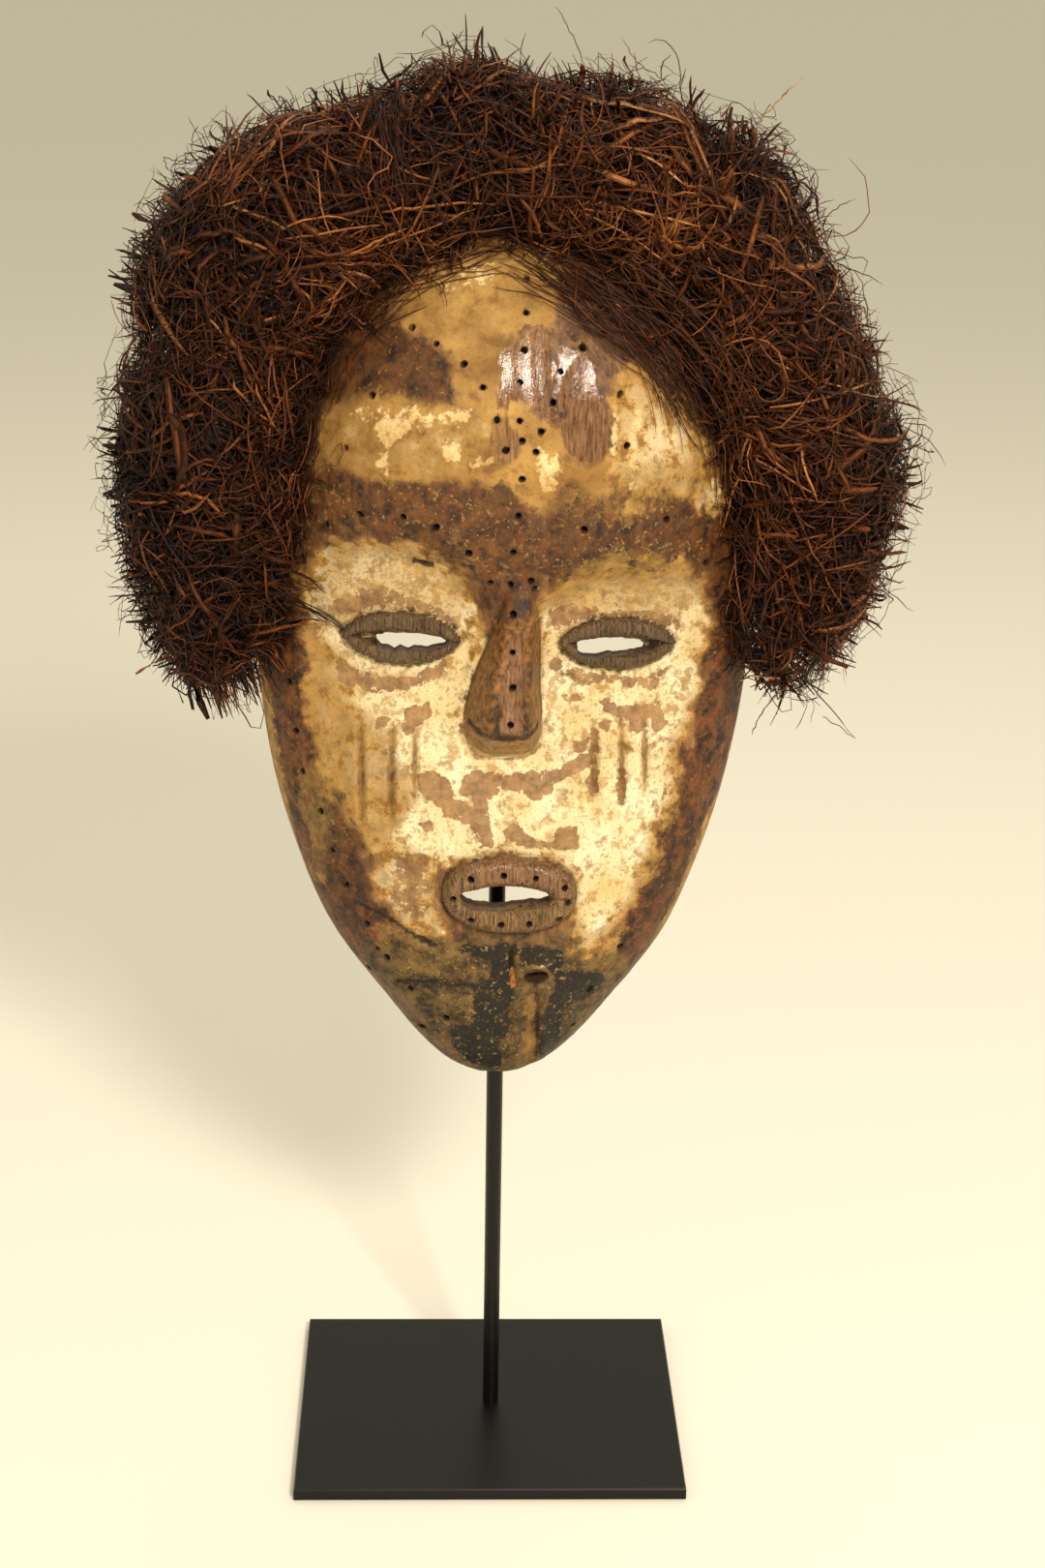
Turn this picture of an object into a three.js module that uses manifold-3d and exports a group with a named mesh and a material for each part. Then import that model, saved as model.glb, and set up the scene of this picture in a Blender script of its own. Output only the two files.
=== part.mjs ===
// A carved wooden face mask with a fibre wig, held on a steel rod that stands on a flat steel plate.
// Millimetres, +Z up, the face looks along -Y. The origin is the centre of the plate's underside.
import * as THREE from "three";
import { mergeVertices } from "three/addons/utils/BufferGeometryUtils.js";
import Module from "manifold-3d";

const wasm = await Module();
wasm.setup();

// Stand
const PLATE = { width: 152.4, depth: 127, thickness: 5, chamfer: 0.5 };
const ROD = { radius: 3.175, x: 1, sides: 16, bendRadius: 14, bendSteps: 6 };
const SADDLE = { radius: 2.4, halfSpan: 24, height: 268, steps: 10, sides: 8 };
const CHIN_PIN = { radius: 2, height: 16, sides: 8 };
// Bars that are welded end to end run into each other by the overlap, each a little slimmer than the last.
const WELD = { overlap: 1, bendShare: 0.99, armShare: 0.97 };
const CONTACT_GAP = 0.3;
const FACET_SAG = 0.8;

// Mask, in its own frame: x to the right, z up from the chin's lowest point, y = 0 on the rim's flat back
const MASK = {
  position: [-1.5, -4.5, 157.7],
  tiltBack: THREE.MathUtils.degToRad(4),
  leanRight: THREE.MathUtils.degToRad(1.5),
  height: 332,
  wall: 9,
  sidePower: 2.8,
  frontPower: 1.9,
};
const HALF_WIDTHS = [
  [0, 0],
  [8, 21.5],
  [31.5, 43],
  [61, 64.3],
  [93, 77.4],
  [123, 85.6],
  [160, 90.8],
  [200, 91],
  [240, 85.5],
  [275, 72],
  [305, 50],
  [324, 24],
  [332, 0],
];
const CENTRE_LINE = [
  [0, 2],
  [36, 1.4],
  [85, 0],
  [140, -0.8],
  [332, -0.8],
];
const DEPTHS = [
  [0, 0],
  [3, 13],
  [10, 22],
  [28, 31],
  [50, 38],
  [72, 42],
  [105, 44],
  [140, 45],
  [168, 48],
  [192, 53],
  [210, 59],
  [230, 63.5],
  [250, 66],
  [270, 65],
  [292, 57],
  [310, 44],
  [323, 28],
  [332, 0],
];
// Each socket is a scoop under an arched brow that fades out over the cheek and to its sides.
const SOCKETS = [
  { x: -42, z: 215, halfSpan: 35 },
  { x: 41, z: 209, halfSpan: 34 },
];
const SOCKET = {
  sink: 8,
  archDrop: 18,
  edgeBelow: 10.8,
  edgeAbove: 7.2,
  floorTop: 170,
  floorBottom: 115,
  sideStart: 0.7,
  sideEnd: 1.15,
};
const NOSE = {
  x: -1.2,
  top: 205,
  bottom: 136,
  rootRise: 2,
  tipRise: 19,
  risePower: 0.9,
  rootFade: 0.12,
  rootSink: 0.3,
  cornerRise: 7,
  cornerPower: 0.2,
  endShare: 0.5,
};
// Height and place: both feet of the nose and both edges of its flat ridge.
const NOSE_LINES = {
  left: [[130, -15.5], [146, -16], [164, -12.6], [177, -8.4], [191, -4.6], [205, -2.5]],
  ridgeLeft: [[130, -4], [149, -3.8], [164, -3], [177, -0.3], [191, 0.8], [205, 1]],
  ridgeRight: [[130, 6.8], [149, 6.7], [164, 6.3], [177, 6.2], [191, 5.6], [205, 5]],
  right: [[130, 13.5], [146, 13.7], [164, 12], [177, 11.5], [191, 10.5], [205, 8]],
};
// Height over the nose's end and share of its rise: a front edge with a slope under it.
const NOSE_END = [[0, 0.1], [3, 0.33], [6.5, 0.57], [10.8, 0.82], [15, 1], [90, 1]];
// The flanks end below the face, so that no two faces coincide.
const NOSE_SECTION = {
  flankPower: 0.8,
  sunk: 2,
  seatDepth: 6,
  seatShare: 0.9,
};
const NOSE_STEPS = { down: 12, flank: 3, crowding: 1.3 };
const EYES = [
  { x: -38.3, z: 177.6, slitX: -33.9 },
  { x: 39.1, z: 178.2, slitX: 36 },
];
const LID = { halfLength: 17.6, halfHeight: 6.2, band: 4.1, rise: 4.6, power: 1.45, steps: 22 };
const EYE_SLIT = { halfLength: 13.6, halfHeight: 3.4, power: 1.1, drop: 0.6, steps: 18 };
const MOUTH = { x: 3.9, z: 84 };
const LIP = { halfLength: 18.6, halfHeight: 9.2, band: 6.1, rise: 6.5, power: 0.85, steps: 24 };
const MOUTH_SLIT = { x: 3.2, z: 84.6, halfLength: 17.4, halfHeight: 4.6, power: 0.8, steps: 18 };
const BAND_SIDES = 8;
const SCARS = { halfWidth: 2.4, depth: 1.1, steps: 4 };
const SCAR_LINES = [
  { x: -52.5, top: 148, bottom: 105, slant: 2 },
  { x: -41, top: 146, bottom: 104, slant: 1 },
  { x: -32.8, top: 149, bottom: 116, slant: 1 },
  { x: 32.5, top: 148, bottom: 118, slant: 1 },
  { x: 42, top: 151, bottom: 117, slant: 1.5 },
  { x: 50.5, top: 151, bottom: 119, slant: 1.5 },
];
const CHIN_GROOVE = { x: 13.4, top: 48, bottom: 3, slant: 1.6, halfWidth: 4.2, depth: 2.2, steps: 5 };
const GROOVE_CLEAR = 2;
const CHIN_HOLE = { x: 15.6, z: 50, halfLength: 4.6, halfHeight: 2, power: 0.9, steps: 9 };
// The wall is carved thinner behind the eyes and the mouth.
const THIN_WALL = { thickness: 5, reachX: 26, reachZ: 16 };
const SLIT_REACH = 90;
const WAY_IN = 80;
// Slices through the mask lie closer together at the brow and at both ends.
const SLICES = { step: 9.2, brow: 205, browReach: 17, browShare: 0.5, endReach: 26, endShare: 0.3 };
const SLICE_ENDS = { inset: 0.05, halfWidth: 0.5 };
const COLUMN_CROWDING = 0.8;
const BODY_GRID = { columns: 36, coarseness: 1 };
const WIG_SEAT_GRID = { columns: 24, coarseness: 1.5 };
const HOLLOW_GRID = { columns: 18, coarseness: 2 };

// Wig, in the mask's frame: a thick roll of fibre round the rim, given by polar angle from straight up
const WIG = {
  centreZ: 210,
  depthCentre: -17,
  halfDepth: 39,
  startDegrees: -118,
  endDegrees: 118.5,
  capDegrees: 12,
  capSize: 0.05,
  arcSteps: 52,
  sectionSteps: 14,
  tuftHeight: 3,
};
const WIG_OUTER = [
  [-118, 119],
  [-113, 128.5],
  [-106, 132.5],
  [-98, 133.5],
  [-90, 138],
  [-84, 141],
  [-73, 145],
  [-60, 153],
  [-52, 163],
  [-45, 171.5],
  [-38, 171.5],
  [-30, 169.5],
  [-20, 165],
  [-10, 169.5],
  [-4, 170],
  [2, 160.5],
  [10, 165.5],
  [18, 163.5],
  [24, 161.5],
  [30, 167.5],
  [36, 160],
  [45, 150.5],
  [55, 148.5],
  [62, 144.5],
  [70, 143],
  [80, 143.5],
  [86, 134.5],
  [93, 134],
  [100, 130.5],
  [107, 126.5],
  [113, 123],
  [118.5, 113],
];
const WIG_INNER = [
  [-118, 100],
  [-113, 92.5],
  [-108, 85.5],
  [-101, 79],
  [-94, 74.5],
  [-84, 72.5],
  [-75, 72.5],
  [-65, 75.5],
  [-55, 81.5],
  [-40, 92],
  [-24, 97.5],
  [-7, 102.5],
  [6, 102.5],
  [15, 94],
  [26, 87],
  [40, 82],
  [60, 79.5],
  [78, 78],
  [98, 78.5],
  [108, 83],
  [114, 91],
  [118.5, 98],
];
// The tufts are three waves that run along the roll and twist round it.
const TUFT_WAVES = [
  { share: 0.5, along: 0.31, round: 0, twist: 1.9, start: 0 },
  { share: 0.3, along: 0.53, round: 3, twist: 0, start: 1 },
  { share: 0.2, along: 0.17, round: -5, twist: 0, start: 0 },
];

const materials = {
  steel: new THREE.MeshStandardMaterial({ color: 0x1b1918, roughness: 0.45, metalness: 0.3 }),
  wood: new THREE.MeshStandardMaterial({ color: 0xb88f57, roughness: 0.6, metalness: 0 }),
  fibre: new THREE.MeshStandardMaterial({ color: 0x4a2413, roughness: 0.8, metalness: 0 }),
};

// A smooth line through [place, value] pairs, flat beyond its ends.
function smoothThrough(pairs) {
  const slope = (i) => {
    const a = pairs[Math.max(i - 1, 0)];
    const b = pairs[Math.min(i + 1, pairs.length - 1)];
    return (b[1] - a[1]) / (b[0] - a[0]);
  };
  return (place) => {
    const at = Math.min(Math.max(place, pairs[0][0]), pairs[pairs.length - 1][0]);
    let i = 0;
    while (i < pairs.length - 2 && at > pairs[i + 1][0]) i += 1;
    const span = pairs[i + 1][0] - pairs[i][0];
    const t = (at - pairs[i][0]) / span;
    const rise = pairs[i + 1][1] - pairs[i][1];
    const start = slope(i) * span;
    const end = slope(i + 1) * span;
    const bend = 3 * rise - 2 * start - end;
    const twist = start + end - 2 * rise;
    return pairs[i][1] + t * start + t ** 2 * bend + t ** 3 * twist;
  };
}

// Widths and depths change fast near both ends, so they are drawn against an angle from chin to crown.
const angleOf = (z) => Math.acos(1 - (2 * Math.min(Math.max(z, 0), MASK.height)) / MASK.height);
const widthAlong = smoothThrough(HALF_WIDTHS.map(([z, value]) => [angleOf(z), value]));
const depthAlong = smoothThrough(DEPTHS.map(([z, value]) => [angleOf(z), value]));
const centreAlong = smoothThrough(CENTRE_LINE);

// How deep the eye sockets are scooped into the dome at a point of the face.
function socketDepth(x, z) {
  const { smoothstep } = THREE.MathUtils;
  const shares = SOCKETS.map((socket) => {
    const across = Math.abs(x - socket.x) / socket.halfSpan;
    const browZ = socket.z - SOCKET.archDrop * across ** 2;
    const underBrow = 1 - smoothstep(z, browZ - SOCKET.edgeBelow, browZ + SOCKET.edgeAbove);
    const overCheek = smoothstep(z, SOCKET.floorBottom, SOCKET.floorTop);
    return underBrow * overCheek * (1 - smoothstep(across, SOCKET.sideStart, SOCKET.sideEnd));
  });
  return SOCKET.sink * Math.max(...shares);
}

// How far the face stands in front of the rim's back, without lids, lips and nose.
// The whole form can be grown or shrunk all round.
function faceDepth(x, z, grow = 0) {
  const angle = angleOf(z);
  const half = Math.max(widthAlong(angle) + grow, Number.EPSILON);
  const across = Math.min(Math.abs(x - centreAlong(z)) / half, 1);
  const dome = (1 - across ** MASK.sidePower) ** (1 / MASK.frontPower);
  return Math.max((depthAlong(angle) + grow - socketDepth(x, z)) * dome, 0);
}

// The hollow's own face, which lies closer to the front where eyes and mouth are cut through.
function hollowDepth(x, z, grow) {
  const near = (place) => {
    const across = (x - place.x) / THIN_WALL.reachX;
    const up = (z - place.z) / THIN_WALL.reachZ;
    return Math.exp(-(across ** 2) - up ** 2);
  };
  const thin = Math.min([...EYES, MOUTH].reduce((sum, place) => sum + near(place), 0), 1);
  const outer = faceDepth(x, z, grow);
  return outer > 0 ? outer + (MASK.wall - THIN_WALL.thickness) * thin : 0;
}

// Builds a closed solid from rings of points, each with the same number of points.
// The ends are capped unless the row of rings runs round to its start.
function loft(rings, closed = false) {
  const sides = rings[0].length;
  const position = rings.flat().flatMap((p) => [p.x, p.y, p.z]);
  const index = [];
  const last = closed ? rings.length : rings.length - 1;
  for (let i = 0; i < last; i += 1) {
    for (let j = 0; j < sides; j += 1) {
      const a = i * sides + j;
      const b = i * sides + ((j + 1) % sides);
      const c = ((i + 1) % rings.length) * sides + ((j + 1) % sides);
      const d = ((i + 1) % rings.length) * sides + j;
      index.push(a, b, c, a, c, d);
    }
  }
  if (!closed) {
    const end = (rings.length - 1) * sides;
    for (let j = 1; j < sides - 1; j += 1) {
      index.push(0, j + 1, j);
      index.push(end, end + j, end + j + 1);
    }
  }
  const geometry = new THREE.BufferGeometry();
  geometry.setAttribute("position", new THREE.Float32BufferAttribute(position, 3));
  geometry.setIndex(index);
  return geometry;
}

// Turns a closed geometry into a solid, the right way out.
function solidFrom(source) {
  const geometry = source.clone();
  geometry.deleteAttribute("normal");
  geometry.deleteAttribute("uv");
  const merged = mergeVertices(geometry, 1e-3);
  const vertProperties = merged.attributes.position.array;
  const triVerts = new Uint32Array(merged.index.array);
  const made = () => new wasm.Manifold(new wasm.Mesh({ numProp: 3, vertProperties, triVerts }));
  const solid = made();
  if (solid.volume() > 0) return solid;
  triVerts.reverse();
  return made();
}

function geometryFrom(solid) {
  const mesh = solid.getMesh();
  const geometry = new THREE.BufferGeometry();
  geometry.setAttribute("position", new THREE.BufferAttribute(mesh.vertProperties, 3));
  geometry.setIndex(new THREE.BufferAttribute(mesh.triVerts, 1));
  geometry.computeVertexNormals();
  return geometry;
}

function namedMesh(name, geometry, material) {
  const mesh = new THREE.Mesh(geometry, material);
  mesh.name = name;
  return mesh;
}

const joined = (solids) => solids.reduce((whole, next) => whole.add(next));

function sliceHeights(bottom, top, coarseness) {
  const { step, brow, browReach, browShare, endReach, endShare } = SLICES;
  const heights = [];
  let z = bottom;
  while (z < top) {
    heights.push(z);
    const toEnd = Math.min(z - bottom, top - z);
    const nearBrow = 1 - browShare * Math.exp(-(((z - brow) / browReach) ** 2));
    z += step * coarseness * nearBrow * Math.min(endShare + toEnd / endReach, 1);
  }
  return [...heights, top];
}

// The mask's form as horizontal slices, grown or shrunk all round, with its back at y = back.
function shell({ columns, coarseness, depthAt, grow = 0, back = 0 }) {
  const bottom = Math.max(-grow, 0) + SLICE_ENDS.inset;
  const rings = sliceHeights(bottom, MASK.height - bottom, coarseness).map((z) => {
    const half = Math.max(widthAlong(angleOf(z)) + grow, SLICE_ENDS.halfWidth);
    const centre = centreAlong(z);
    const level = z + Math.max(grow, 0) * ((2 * z) / MASK.height - 1);
    const ring = [];
    for (let j = 0; j <= columns; j += 1) {
      const turn = (j / columns - 0.5) * Math.PI;
      const across = Math.sign(turn) * Math.abs(Math.sin(turn)) ** COLUMN_CROWDING;
      const x = centre + half * across;
      ring.push(new THREE.Vector3(x, -depthAt(x, z, grow), level));
    }
    ring.push(new THREE.Vector3(centre + half, back, level));
    ring.push(new THREE.Vector3(centre - half, back, level));
    return ring;
  });
  return solidFrom(loft(rings));
}

const hollow = (grow, back) => shell({ ...HOLLOW_GRID, depthAt: hollowDepth, grow, back });

// A point on a long oval, pointed at its ends where power is over 1 and squarer where it is under 1.
function onOval(form, turn) {
  const side = Math.sin(turn);
  return {
    x: form.halfLength * Math.cos(turn),
    z: form.halfHeight * Math.sign(side) * Math.abs(side) ** form.power,
  };
}

// A raised band that follows an oval on the face, such as a pair of eyelids or lips.
function band(centre, form) {
  const rings = [];
  for (let i = 0; i < form.steps; i += 1) {
    const turn = (2 * Math.PI * (i + 0.5)) / form.steps;
    const at = onOval(form, turn);
    const out = new THREE.Vector2(Math.cos(turn) / form.halfLength, Math.sin(turn) / form.halfHeight);
    out.normalize();
    const ring = [];
    for (let j = 0; j < BAND_SIDES; j += 1) {
      const round = (2 * Math.PI * (j + 0.5)) / BAND_SIDES;
      const x = centre.x + at.x + out.x * form.band * Math.cos(round);
      const z = centre.z + at.z + out.y * form.band * Math.cos(round);
      ring.push(new THREE.Vector3(x, -faceDepth(x, z) - form.rise * Math.sin(round), z));
    }
    rings.push(ring);
  }
  return solidFrom(loft(rings, true));
}

// A cutter through the whole wall in the shape of an oval.
function slit(centre, form) {
  const outline = new THREE.Shape();
  for (let i = 0; i < form.steps; i += 1) {
    const at = onOval(form, (2 * Math.PI * (i + 0.25)) / form.steps);
    if (i === 0) outline.moveTo(centre.x + at.x, centre.z + at.z);
    else outline.lineTo(centre.x + at.x, centre.z + at.z);
  }
  const geometry = new THREE.ExtrudeGeometry(outline, { depth: SLIT_REACH, bevelEnabled: false });
  geometry.rotateX(Math.PI / 2);
  return solidFrom(geometry);
}

const noseEdges = Object.values(NOSE_LINES).map((points) => smoothThrough(points));
const noseEnd = smoothThrough(NOSE_END);

// A long nose with a flat ridge, from the brow (down = 0) to its end (down = 1), where its corners are cut.
function nose() {
  const { flankPower, sunk, seatDepth, seatShare } = NOSE_SECTION;
  const rings = [];
  for (let i = 0; i <= NOSE_STEPS.down; i += 1) {
    const down = 1 - (1 - i / NOSE_STEPS.down) ** NOSE_STEPS.crowding;
    const z = NOSE.top + (NOSE.bottom - NOSE.top) * down;
    const above = Math.max(z - NOSE.bottom, 0);
    const corner = Math.min(Math.max((above / NOSE.cornerRise) ** NOSE.cornerPower, NOSE.endShare), 1);
    const [left, ridgeLeft, ridgeRight, right] = noseEdges.map((edge) => NOSE.x + (edge(z) - NOSE.x) * corner);
    const nearRoot = Math.min(down / NOSE.rootFade, 1);
    const rise = NOSE.rootRise + (NOSE.tipRise - NOSE.rootRise) * down ** NOSE.risePower;
    const lift = rise * nearRoot * noseEnd(above) - NOSE.rootSink * (1 - nearRoot);
    const section = [];
    for (let j = 0; j <= NOSE_STEPS.flank; j += 1) {
      const flank = j / NOSE_STEPS.flank;
      section.push([left + (ridgeLeft - left) * flank, flank]);
    }
    section.push([(ridgeLeft + ridgeRight) / 2, 1]);
    for (let j = NOSE_STEPS.flank; j >= 0; j -= 1) {
      const flank = j / NOSE_STEPS.flank;
      section.push([right + (ridgeRight - right) * flank, flank]);
    }
    const ring = section.map(([x, flank]) => {
      const height = (lift + sunk) * Math.sin((flank * Math.PI) / 2) ** flankPower - sunk;
      return new THREE.Vector3(x, -faceDepth(x, z) - height, z);
    });
    const seat = faceDepth(NOSE.x, z) - seatDepth;
    ring.push(new THREE.Vector3(NOSE.x + (right - NOSE.x) * seatShare, -seat, z));
    ring.push(new THREE.Vector3(NOSE.x + (left - NOSE.x) * seatShare, -seat, z));
    rings.push(ring);
  }
  return solidFrom(loft(rings));
}

// A long wedge that leaves a shallow V in the face, fading out at both ends.
function groove(line, form) {
  const rings = [];
  for (let i = 0; i <= form.steps; i += 1) {
    const along = i / form.steps;
    const z = line.top + (line.bottom - line.top) * along;
    const x = line.x + line.slant * along;
    const surface = -faceDepth(x, z);
    const depth = form.depth * (2 * Math.sqrt(Math.sin(Math.PI * along)) - 1);
    const half = (form.halfWidth * (form.depth + GROOVE_CLEAR)) / form.depth;
    rings.push([
      new THREE.Vector3(x - half, surface - GROOVE_CLEAR, z),
      new THREE.Vector3(x, surface + depth, z),
      new THREE.Vector3(x + half, surface - GROOVE_CLEAR, z),
    ]);
  }
  return solidFrom(loft(rings));
}

function maskSolid() {
  const solid = joined([
    shell({ ...BODY_GRID, depthAt: faceDepth }),
    nose(),
    band(MOUTH, LIP),
    ...EYES.map((eye) => band(eye, LID)),
  ]);
  const cutters = [
    hollow(-MASK.wall, MASK.wall),
    ...EYES.map((eye) => slit({ x: eye.slitX, z: eye.z - EYE_SLIT.drop }, EYE_SLIT)),
    slit(MOUTH_SLIT, MOUTH_SLIT),
    slit(CHIN_HOLE, CHIN_HOLE),
    ...SCAR_LINES.map((line) => groove(line, SCARS)),
    groove(CHIN_GROOVE, CHIN_GROOVE),
  ];
  return cutters.reduce((whole, cutter) => whole.subtract(cutter), solid);
}

const wigOuter = smoothThrough(WIG_OUTER);
const wigInner = smoothThrough(WIG_INNER);

// The tufts that the fibre roll breaks into, from -1 to 1.
function tufts(degrees, round) {
  return TUFT_WAVES.reduce((sum, wave) => {
    const phase = degrees * wave.along + round * wave.round + wave.twist * Math.sin(2 * round) + wave.start;
    return sum + wave.share * Math.sin(phase);
  }, 0);
}

function wigRoll() {
  const { startDegrees, endDegrees, capDegrees } = WIG;
  const rings = [];
  for (let i = 0; i <= WIG.arcSteps; i += 1) {
    const even = i / WIG.arcSteps;
    const closer = (1 - Math.cos(Math.PI * even)) / 2;
    const degrees = startDegrees + ((endDegrees - startDegrees) * (even + closer)) / 2;
    const fromEnd = Math.min((degrees - startDegrees) / capDegrees, (endDegrees - degrees) / capDegrees, 1);
    const size = Math.max(Math.sqrt(1 - (1 - fromEnd) ** 2), WIG.capSize);
    const centre = (wigOuter(degrees) + wigInner(degrees)) / 2;
    const half = (wigOuter(degrees) - wigInner(degrees)) / 2;
    const angle = THREE.MathUtils.degToRad(degrees);
    const ring = [];
    for (let j = 0; j < WIG.sectionSteps; j += 1) {
      const round = (2 * Math.PI * j) / WIG.sectionSteps;
      const lump = WIG.tuftHeight * tufts(degrees, round);
      const radius = centre + (half + lump) * size * Math.cos(round);
      const y = WIG.depthCentre + (WIG.halfDepth + lump) * size * Math.sin(round);
      ring.push(new THREE.Vector3(radius * Math.sin(angle), y, WIG.centreZ + radius * Math.cos(angle)));
    }
    rings.push(ring);
  }
  return solidFrom(loft(rings));
}

// The wig keeps clear of the mask, and of the way into the hollow behind it.
function wigSolid() {
  const seat = shell({
    ...WIG_SEAT_GRID,
    depthAt: faceDepth,
    grow: CONTACT_GAP + FACET_SAG,
    back: CONTACT_GAP,
  });
  return wigRoll().subtract(seat).subtract(hollow(-MASK.wall / 2, WAY_IN));
}

const maskFrame = new THREE.Group();
maskFrame.position.set(...MASK.position);
maskFrame.rotation.set(-MASK.tiltBack, MASK.leanRight, 0);
maskFrame.updateMatrix();
const toWorld = (x, y, z) => new THREE.Vector3(x, y, z).applyMatrix4(maskFrame.matrix);

function disc(radius, sides) {
  const shape = new THREE.Shape();
  for (let i = 0; i < sides; i += 1) {
    const turn = (2 * Math.PI * (i + 0.5)) / sides;
    const point = [radius * Math.cos(turn), radius * Math.sin(turn)];
    if (i === 0) shape.moveTo(...point);
    else shape.lineTo(...point);
  }
  return shape;
}

function bar(curve, { radius, steps, sides }) {
  return solidFrom(
    new THREE.ExtrudeGeometry(disc(radius, sides), { steps, extrudePath: curve, bevelEnabled: false }),
  );
}

// The upright turns forward inside the hollow and ends in a saddle that bears on the back of the forehead.
// A short pin reaches forward to the inside of the chin.
function standRod() {
  const { radius, x: rodX, sides, bendRadius, bendSteps } = ROD;
  const behindFace = (x, z, clear) => -hollowDepth(x, z, -MASK.wall) + clear;
  const saddleClear = SADDLE.radius + CONTACT_GAP + FACET_SAG;
  const saddlePoint = (x) => toWorld(x, behindFace(x, SADDLE.height, saddleClear), SADDLE.height);
  const saddlePoints = [];
  for (let i = 0; i <= SADDLE.steps; i += 1) {
    saddlePoints.push(saddlePoint(SADDLE.halfSpan * ((2 * i) / SADDLE.steps - 1)));
  }
  const middle = saddlePoint(0);
  const bendStart = middle.z - bendRadius;
  const upright = new THREE.CylinderGeometry(radius, radius, bendStart - PLATE.thickness, sides);
  upright.rotateX(Math.PI / 2);
  upright.translate(rodX, 0, (bendStart + PLATE.thickness) / 2);
  const bend = new THREE.QuadraticBezierCurve3(
    new THREE.Vector3(rodX, 0, bendStart - WELD.overlap),
    new THREE.Vector3(rodX, 0, middle.z),
    new THREE.Vector3(rodX, -bendRadius - WELD.overlap, middle.z),
  );
  const arm = new THREE.LineCurve3(
    new THREE.Vector3(rodX, -bendRadius, middle.z),
    new THREE.Vector3(rodX, middle.y + WELD.overlap, middle.z),
  );
  const pinTip = toWorld(0, behindFace(0, CHIN_PIN.height, CONTACT_GAP + FACET_SAG), CHIN_PIN.height);
  const pin = new THREE.LineCurve3(
    new THREE.Vector3(rodX, 0, pinTip.z),
    new THREE.Vector3(rodX, pinTip.y, pinTip.z),
  );
  return joined([
    solidFrom(upright),
    bar(bend, { radius: radius * WELD.bendShare, steps: bendSteps, sides }),
    bar(arm, { radius: radius * WELD.armShare, steps: 1, sides }),
    bar(new THREE.CatmullRomCurve3(saddlePoints), SADDLE),
    bar(pin, { ...CHIN_PIN, steps: 1 }),
  ]);
}

function basePlate() {
  const { width, depth, thickness, chamfer } = PLATE;
  const right = width / 2 - chamfer;
  const rear = depth / 2 - chamfer;
  const outline = new THREE.Shape([
    new THREE.Vector2(-right, -rear),
    new THREE.Vector2(right, -rear),
    new THREE.Vector2(right, rear),
    new THREE.Vector2(-right, rear),
  ]);
  const geometry = new THREE.ExtrudeGeometry(outline, {
    depth: thickness - 2 * chamfer,
    bevelThickness: chamfer,
    bevelSize: chamfer,
    bevelSegments: 1,
  });
  geometry.translate(0, 0, chamfer);
  return geometry;
}

maskFrame.add(namedMesh("mask", geometryFrom(maskSolid()), materials.wood));
maskFrame.add(namedMesh("fibre_wig", geometryFrom(wigSolid()), materials.fibre));

const object = new THREE.Group();
object.add(namedMesh("base_plate", basePlate(), materials.steel));
object.add(namedMesh("stand_rod", geometryFrom(standRod()), materials.steel));
object.add(maskFrame);

export default object;
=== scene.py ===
# A carved face mask with a wig of fibre, held on a black steel stand.
import math
import bpy
import numpy as np
from mathutils import Matrix, Vector


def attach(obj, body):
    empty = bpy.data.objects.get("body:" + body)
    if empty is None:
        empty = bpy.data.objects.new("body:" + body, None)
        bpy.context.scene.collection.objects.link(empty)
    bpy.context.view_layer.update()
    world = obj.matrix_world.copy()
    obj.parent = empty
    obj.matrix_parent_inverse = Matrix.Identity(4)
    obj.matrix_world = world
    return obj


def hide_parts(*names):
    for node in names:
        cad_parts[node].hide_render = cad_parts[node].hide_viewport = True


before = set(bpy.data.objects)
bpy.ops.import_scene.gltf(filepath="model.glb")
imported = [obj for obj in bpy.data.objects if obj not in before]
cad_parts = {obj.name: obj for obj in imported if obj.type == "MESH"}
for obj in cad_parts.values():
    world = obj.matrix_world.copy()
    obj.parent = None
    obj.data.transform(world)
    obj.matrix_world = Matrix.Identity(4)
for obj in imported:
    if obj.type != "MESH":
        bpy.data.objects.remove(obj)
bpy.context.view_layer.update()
mm = 0.001


def pickOnly(piece):  # nothing else stays selected, the loaded nodes least of all
    bpy.ops.object.select_all(action="DESELECT")
    piece.select_set(True)
    bpy.context.view_layer.objects.active = piece


def finishPiece(piece, name, material, smoothDegrees=40):
    pickOnly(piece)
    piece.name = piece.data.name = name
    piece.data.materials.clear()
    piece.data.materials.append(material)
    bpy.ops.object.transform_apply(location=True, rotation=True, scale=True)
    bpy.ops.object.shade_smooth_by_angle(angle=math.radians(smoothDegrees))
    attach(piece, "root")


def cutWith(piece, cutter):
    pickOnly(piece)
    cut = piece.modifiers.new("cut", "BOOLEAN")
    cut.object = cutter
    cut.operation = "DIFFERENCE"
    cut.solver = "MANIFOLD"
    bpy.ops.object.modifier_apply(modifier=cut.name)
    bpy.data.objects.remove(cutter, do_unlink=True)


def joinAll(pieces):
    pickOnly(pieces[0])
    for piece in pieces:
        piece.select_set(True)
    bpy.ops.object.join()
    return bpy.context.view_layer.objects.active


def pickBorder():  # in edit mode: the open edges and nothing else
    bpy.ops.mesh.select_mode(type="EDGE")
    bpy.ops.mesh.select_all(action="DESELECT")
    bpy.ops.mesh.select_non_manifold()


def leaveEdit():  # every face turned outwards, then back to object mode
    bpy.ops.mesh.select_all(action="SELECT")
    bpy.ops.mesh.normals_make_consistent(inside=False)
    bpy.ops.object.mode_set(mode="OBJECT")


def readPoints(piece):
    places = np.empty(len(piece.data.vertices) * 3)
    piece.data.vertices.foreach_get("co", places)
    return places.reshape(-1, 3)


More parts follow.
